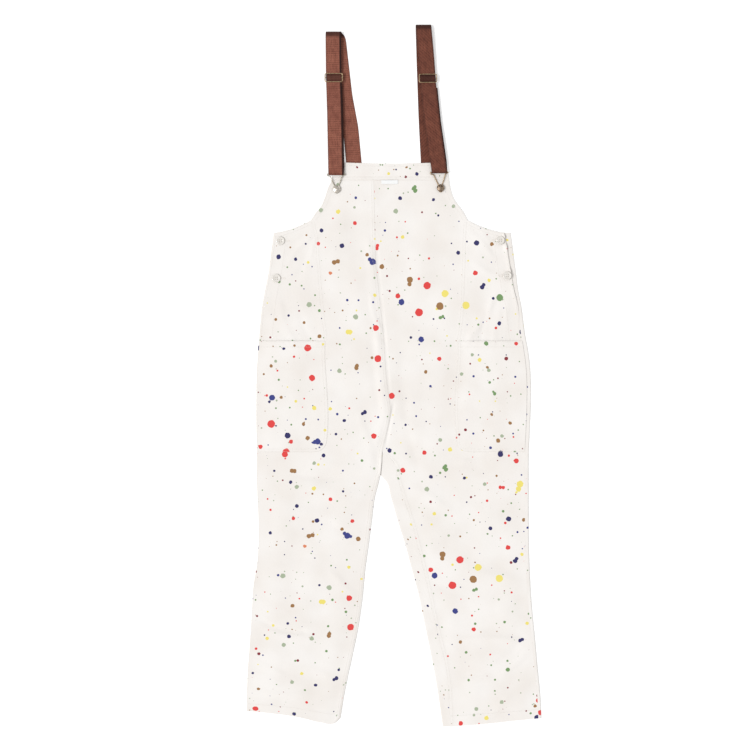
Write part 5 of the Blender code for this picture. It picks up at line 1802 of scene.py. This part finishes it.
# %% Make the side buttons
BUTTON_R = 0.01
BUTTON_T = 0.0028
HOLE_OUT = 0.0022
HOLE_R = 0.0011
HOLE_DEPTH = 0.0014
DISH = 0.0009  # how far the middle lies below the rim
BAR_THREAD_R = 0.00055
SIDE_BUTTONS = {
    "left_upper": ("left", -0.2635, 0.314),
    "left_lower": ("left", -0.273, 0.227),
    "right_upper": ("right", 0.248, 0.315),
    "right_lower": ("right", 0.264, 0.233),
}


def side_button(name):
    """Rings of a height over the disc, then its edge and underside, closed at two poles."""
    side, x, y = SIDE_BUTTONS[name]
    base = base_level(on_panel, side, x, y, BUTTON_R)
    radius = np.concatenate([np.linspace(0.0002, 0.004, 22), np.linspace(0.0044, BUTTON_R - 0.0006, 14)])
    turn = turns(72)
    ring, angle = np.meshgrid(radius, turn, indexing="ij")
    face_x, face_y = ring * np.cos(angle), ring * np.sin(angle)
    rim = BUTTON_T - DISH * (1 - ease(ring, BUTTON_R - 0.0034, BUTTON_R - 0.0018))
    rim = rim - 0.0004 * ease(ring, BUTTON_R - 0.0014, BUTTON_R - 0.0006)
    from_hole = np.hypot(np.abs(face_x) - HOLE_OUT, np.abs(face_y) - HOLE_OUT)
    height = rim - HOLE_DEPTH * ease(from_hole, HOLE_R + 0.0002, HOLE_R - 0.0003)
    face = joined(face_x, face_y, height)
    edge = np.array([(0.0001, BUTTON_T - DISH), (0.0, 0.0012), (0.0004, 0.0004), (0.0012, 0.0)])
    edge[:, 0] = BUTTON_R - edge[:, 0]
    rings = np.concatenate([face, carried(edge, turn)])
    poles = np.array([[0.0, 0.0, height[0, 0]], [0.0, 0.0, 0.0]])
    vertices = np.concatenate([rings.reshape(-1, 3), poles]) + (x, y, base)
    faces = [grid_faces(len(rings), len(turn), closed=True), *fans(len(rings), len(turn))]
    piece = put(f"side_button_{name}_disc", vertices, faces, look["pearl"])
    set_in(piece, f"side_button_{name}")
    return (x, y, base)


def button_thread(name, centre):
    """Two bars of thread across the holes, each diving into one at both ends."""
    share = np.linspace(-1, 1, 15)
    level = BUTTON_T - 0.0006 - 0.0011 * share**6
    bars = []
    for shift in (-HOLE_OUT, HOLE_OUT):
        bars.append((joined(share * HOLE_OUT, shift, level) + centre, BAR_THREAD_R, False))
    set_in(wires(f"side_button_{name}_thread", bars, look["thread"]), None)


for name in SIDE_BUTTONS:
    button_thread(name, side_button(name))

# %% [markdown]
# ## Topstitching
#
# Thread shows on a sewn garment as rows of short humps, each diving into the cloth at both ends. One hump of
# fourteen points is worked out once and set down 3.2 mm apart along every row. Rows run in pairs beside the
# felled seams and the pockets, and singly round the hems, on the same height functions as the cloth.

# %% Make the stitches
STITCH = 0.0032
THREAD_R = 0.0003
HUMP = ((0.22, 0.00004), (0.5, 0.00014), (0.78, 0.00004))  # each row: part of the way, height over the cloth
DIVE = 0.00025  # how far its ends go into the cloth
HOLD = 0.1  # share of the pitch that is left free at each end
PAIR = (0.0015, 0.007)  # a felled seam's two rows
SHORT = 0.002  # how far a row stops short of an edge
BUTTONHOLE = (0.011, 0.0016)  # half its length and half its width
BUTTONHOLE_R = 0.00045
BUTTONHOLE_IN = 0.009  # from the button to its middle


def sewn(name, rows):
    """One piece of stitches along rows of points on the cloth."""
    starts, ends = [], []
    for row in rows:
        length = np.concatenate([[0], np.cumsum(np.linalg.norm(np.diff(row, axis=0), axis=1))])
        at = np.linspace(0, length[-1], max(2, int(length[-1] / STITCH)) + 1)
        points = np.stack([np.interp(at, length, row[:, axis]) for axis in range(3)], axis=1)
        starts.append(points[:-1])
        ends.append(points[1:])
    start, end = np.concatenate(starts), np.concatenate(ends)
    step = end - start
    side = np.cross(step, (0.0, 0.0, 1.0))
    side = side / np.linalg.norm(side, axis=1, keepdims=True) * THREAD_R
    up = np.array([0.0, 0.0, THREAD_R])
    points = [start + step * HOLD - (0, 0, DIVE)]
    for part, height in HUMP:
        centre = start + step * (HOLD + (1 - 2 * HOLD) * part) + (0, 0, height)
        points += [centre + side, centre + up, centre - side, centre - up]
    points.append(start + step * (1 - HOLD) - (0, 0, DIVE))
    vertices = np.stack(points, axis=1)
    around = np.arange(4)
    after = (around + 1) % 4
    first = np.stack([0 * around, 1 + around, 1 + after], axis=1)
    ring = np.stack([5 + around, 5 + after, 1 + after, 1 + around], axis=1)
    last = np.stack([0 * around + 13, 9 + after, 9 + around], axis=1)
    number = 14 * np.arange(len(start))[:, None, None]
    faces = [(number + block).reshape(-1, block.shape[1]) for block in (first, ring, 4 + ring, last)]
    piece = put(name, vertices.reshape(-1, 3), faces, look["thread"], sharp=180.0)
    set_in(piece, None)
    print("  ", len(start), "stitches")


def down_row(place, side, high, low, edge, apart):
    """A row down the cloth: `apart` from an edge curve, on the surface that `place` gives."""
    y = np.linspace(high, low, 160)
    return place(side, edge(side, y) + apart, y, CLOTH / 2)


def across_row(place, side, start, end, level, lift=CLOTH / 2):
    """A row across the cloth, at a level or at a function of x."""
    x = np.linspace(start, end, 120)
    return place(side, x, level(x) if callable(level) else np.full(120, level), lift)


def pocket_row(side, apart):
    """Down the inner edge, round the corner as an arc, and out along the bottom."""
    sign = SIGN[side]
    corner_y = POCKET_BOTTOM_Y + CORNER_R
    y = np.linspace(POCKET_TOP_Y - 0.001, corner_y, 70)
    corner_x = pocket_inner(side, corner_y) + sign * CORNER_R
    turn = np.linspace(0, math.pi / 2, 16)[1:]
    arc_x = corner_x - sign * (CORNER_R - apart) * np.cos(turn)
    arc_y = corner_y - (CORNER_R - apart) * np.sin(turn)
    out_x = np.linspace(corner_x, front_outer(side, POCKET_BOTTOM_Y) - sign * 0.0012, 40)[1:]
    x = np.concatenate([pocket_inner(side, y) + sign * apart, arc_x, out_x])
    y = np.concatenate([y, arc_y, np.full(len(out_x), POCKET_BOTTOM_Y + apart)])
    return on_pocket(side, x, y, POCKET_CLOTH / 2)


def buttonhole(name):
    """A worked buttonhole running in from under a side button: a narrow loop of close thread."""
    side, x, y = SIDE_BUTTONS[name]
    turn = turns(72)
    run_x = np.clip(np.cos(turn) * 1.6, -1, 1) * BUTTONHOLE[0] - SIGN[side] * BUTTONHOLE_IN + x
    run_y = np.sin(turn) * BUTTONHOLE[1] + y
    path = on_panel(side, run_x, run_y, CLOTH / 2 + 0.0001)
    radius = BUTTONHOLE_R * (1 + 0.18 * np.sin(np.arange(72) * 2.3))
    piece = wires(f"buttonhole_{name}_thread", [(path, radius, True)], look["thread"])
    set_in(piece, None)


for side, sign in SIGN.items():
    armhole = BAND_SEAM_Y - SHORT
    top = armhole if side == "left" else CROSSING_Y - 0.001
    pocket_top = POCKET_TOP_Y + 0.001
    hem_x = front_inner(side, HEM_Y), front_outer(side, HEM_Y)
    rows = [down_row(on_front, side, top, HEM_Y + SHORT, front_inner, sign * apart) for apart in PAIR]
    for apart in (0.0024, 0.0106):
        rows.append(down_row(on_front, side, armhole, CORNER_Y, front_outer, -sign * apart))
    for apart in PAIR:
        rows.append(down_row(on_front, side, CORNER_Y - 0.004, pocket_top, panel_seam, -sign * apart))
    ends = hem_x[0] + sign * SHORT, hem_x[1] - sign * SHORT
    rows.append(across_row(on_front, side, *ends, HEM_Y + 0.022))
    sewn(f"front_{side}_stitches", rows)

    near, far = panel_seam(side, CORNER_Y), lower_outer(side, UNDERARM_Y)
    ends = near + sign * 0.003, far - sign * SHORT
    rows = []
    for apart in (0.002, 0.009):
        rows.append(across_row(on_panel, side, *ends, lambda x: panel_top(side, x) - apart))
    for apart in (0.003, 0.028):
        rows.append(down_row(on_panel, side, UNDERARM_Y - 0.006, pocket_top, lower_outer, -sign * apart))
    sewn(f"side_panel_{side}_stitches", rows)

    rows = [pocket_row(side, apart) for apart in PAIR]
    for apart in (0.002, 0.014):
        level = POCKET_TOP_Y - apart
        ends = pocket_inner(side, level) + sign * SHORT, front_outer(side, level) - sign * SHORT
        rows.append(across_row(on_pocket, side, *ends, level, POCKET_CLOTH / 2))
    sewn(f"pocket_{side}_stitches", rows)

part = np.linspace(0.008, 0.992, 160)
band_rows = [on_band(part, np.full(160, down), BAND_CLOTH / 2) for down in (0.15, 0.83, 0.96)]
sewn("bib_band_stitches", band_rows)
for name in SIDE_BUTTONS:
    buttonhole(name)

# %% [markdown]
# ## Floor
#
# The garment lies on a plain white floor, which shows only the soft shadow round it. The floor isn't part
# of the object.

# %% Lay the floor
FLOOR_HALF = 6.0
FLOOR_DOWN = 0.0002  # gap under the cloth, so that the two never share a level
corners = np.array([(-1, -1), (1, -1), (1, 1), (-1, 1)]) * FLOOR_HALF
floor = put("floor", np.column_stack([corners, np.full(4, -FLOOR_DOWN)]), [[[0, 1, 2, 3]]], look["floor"])
print("floor", 2 * FLOOR_HALF, "m across")
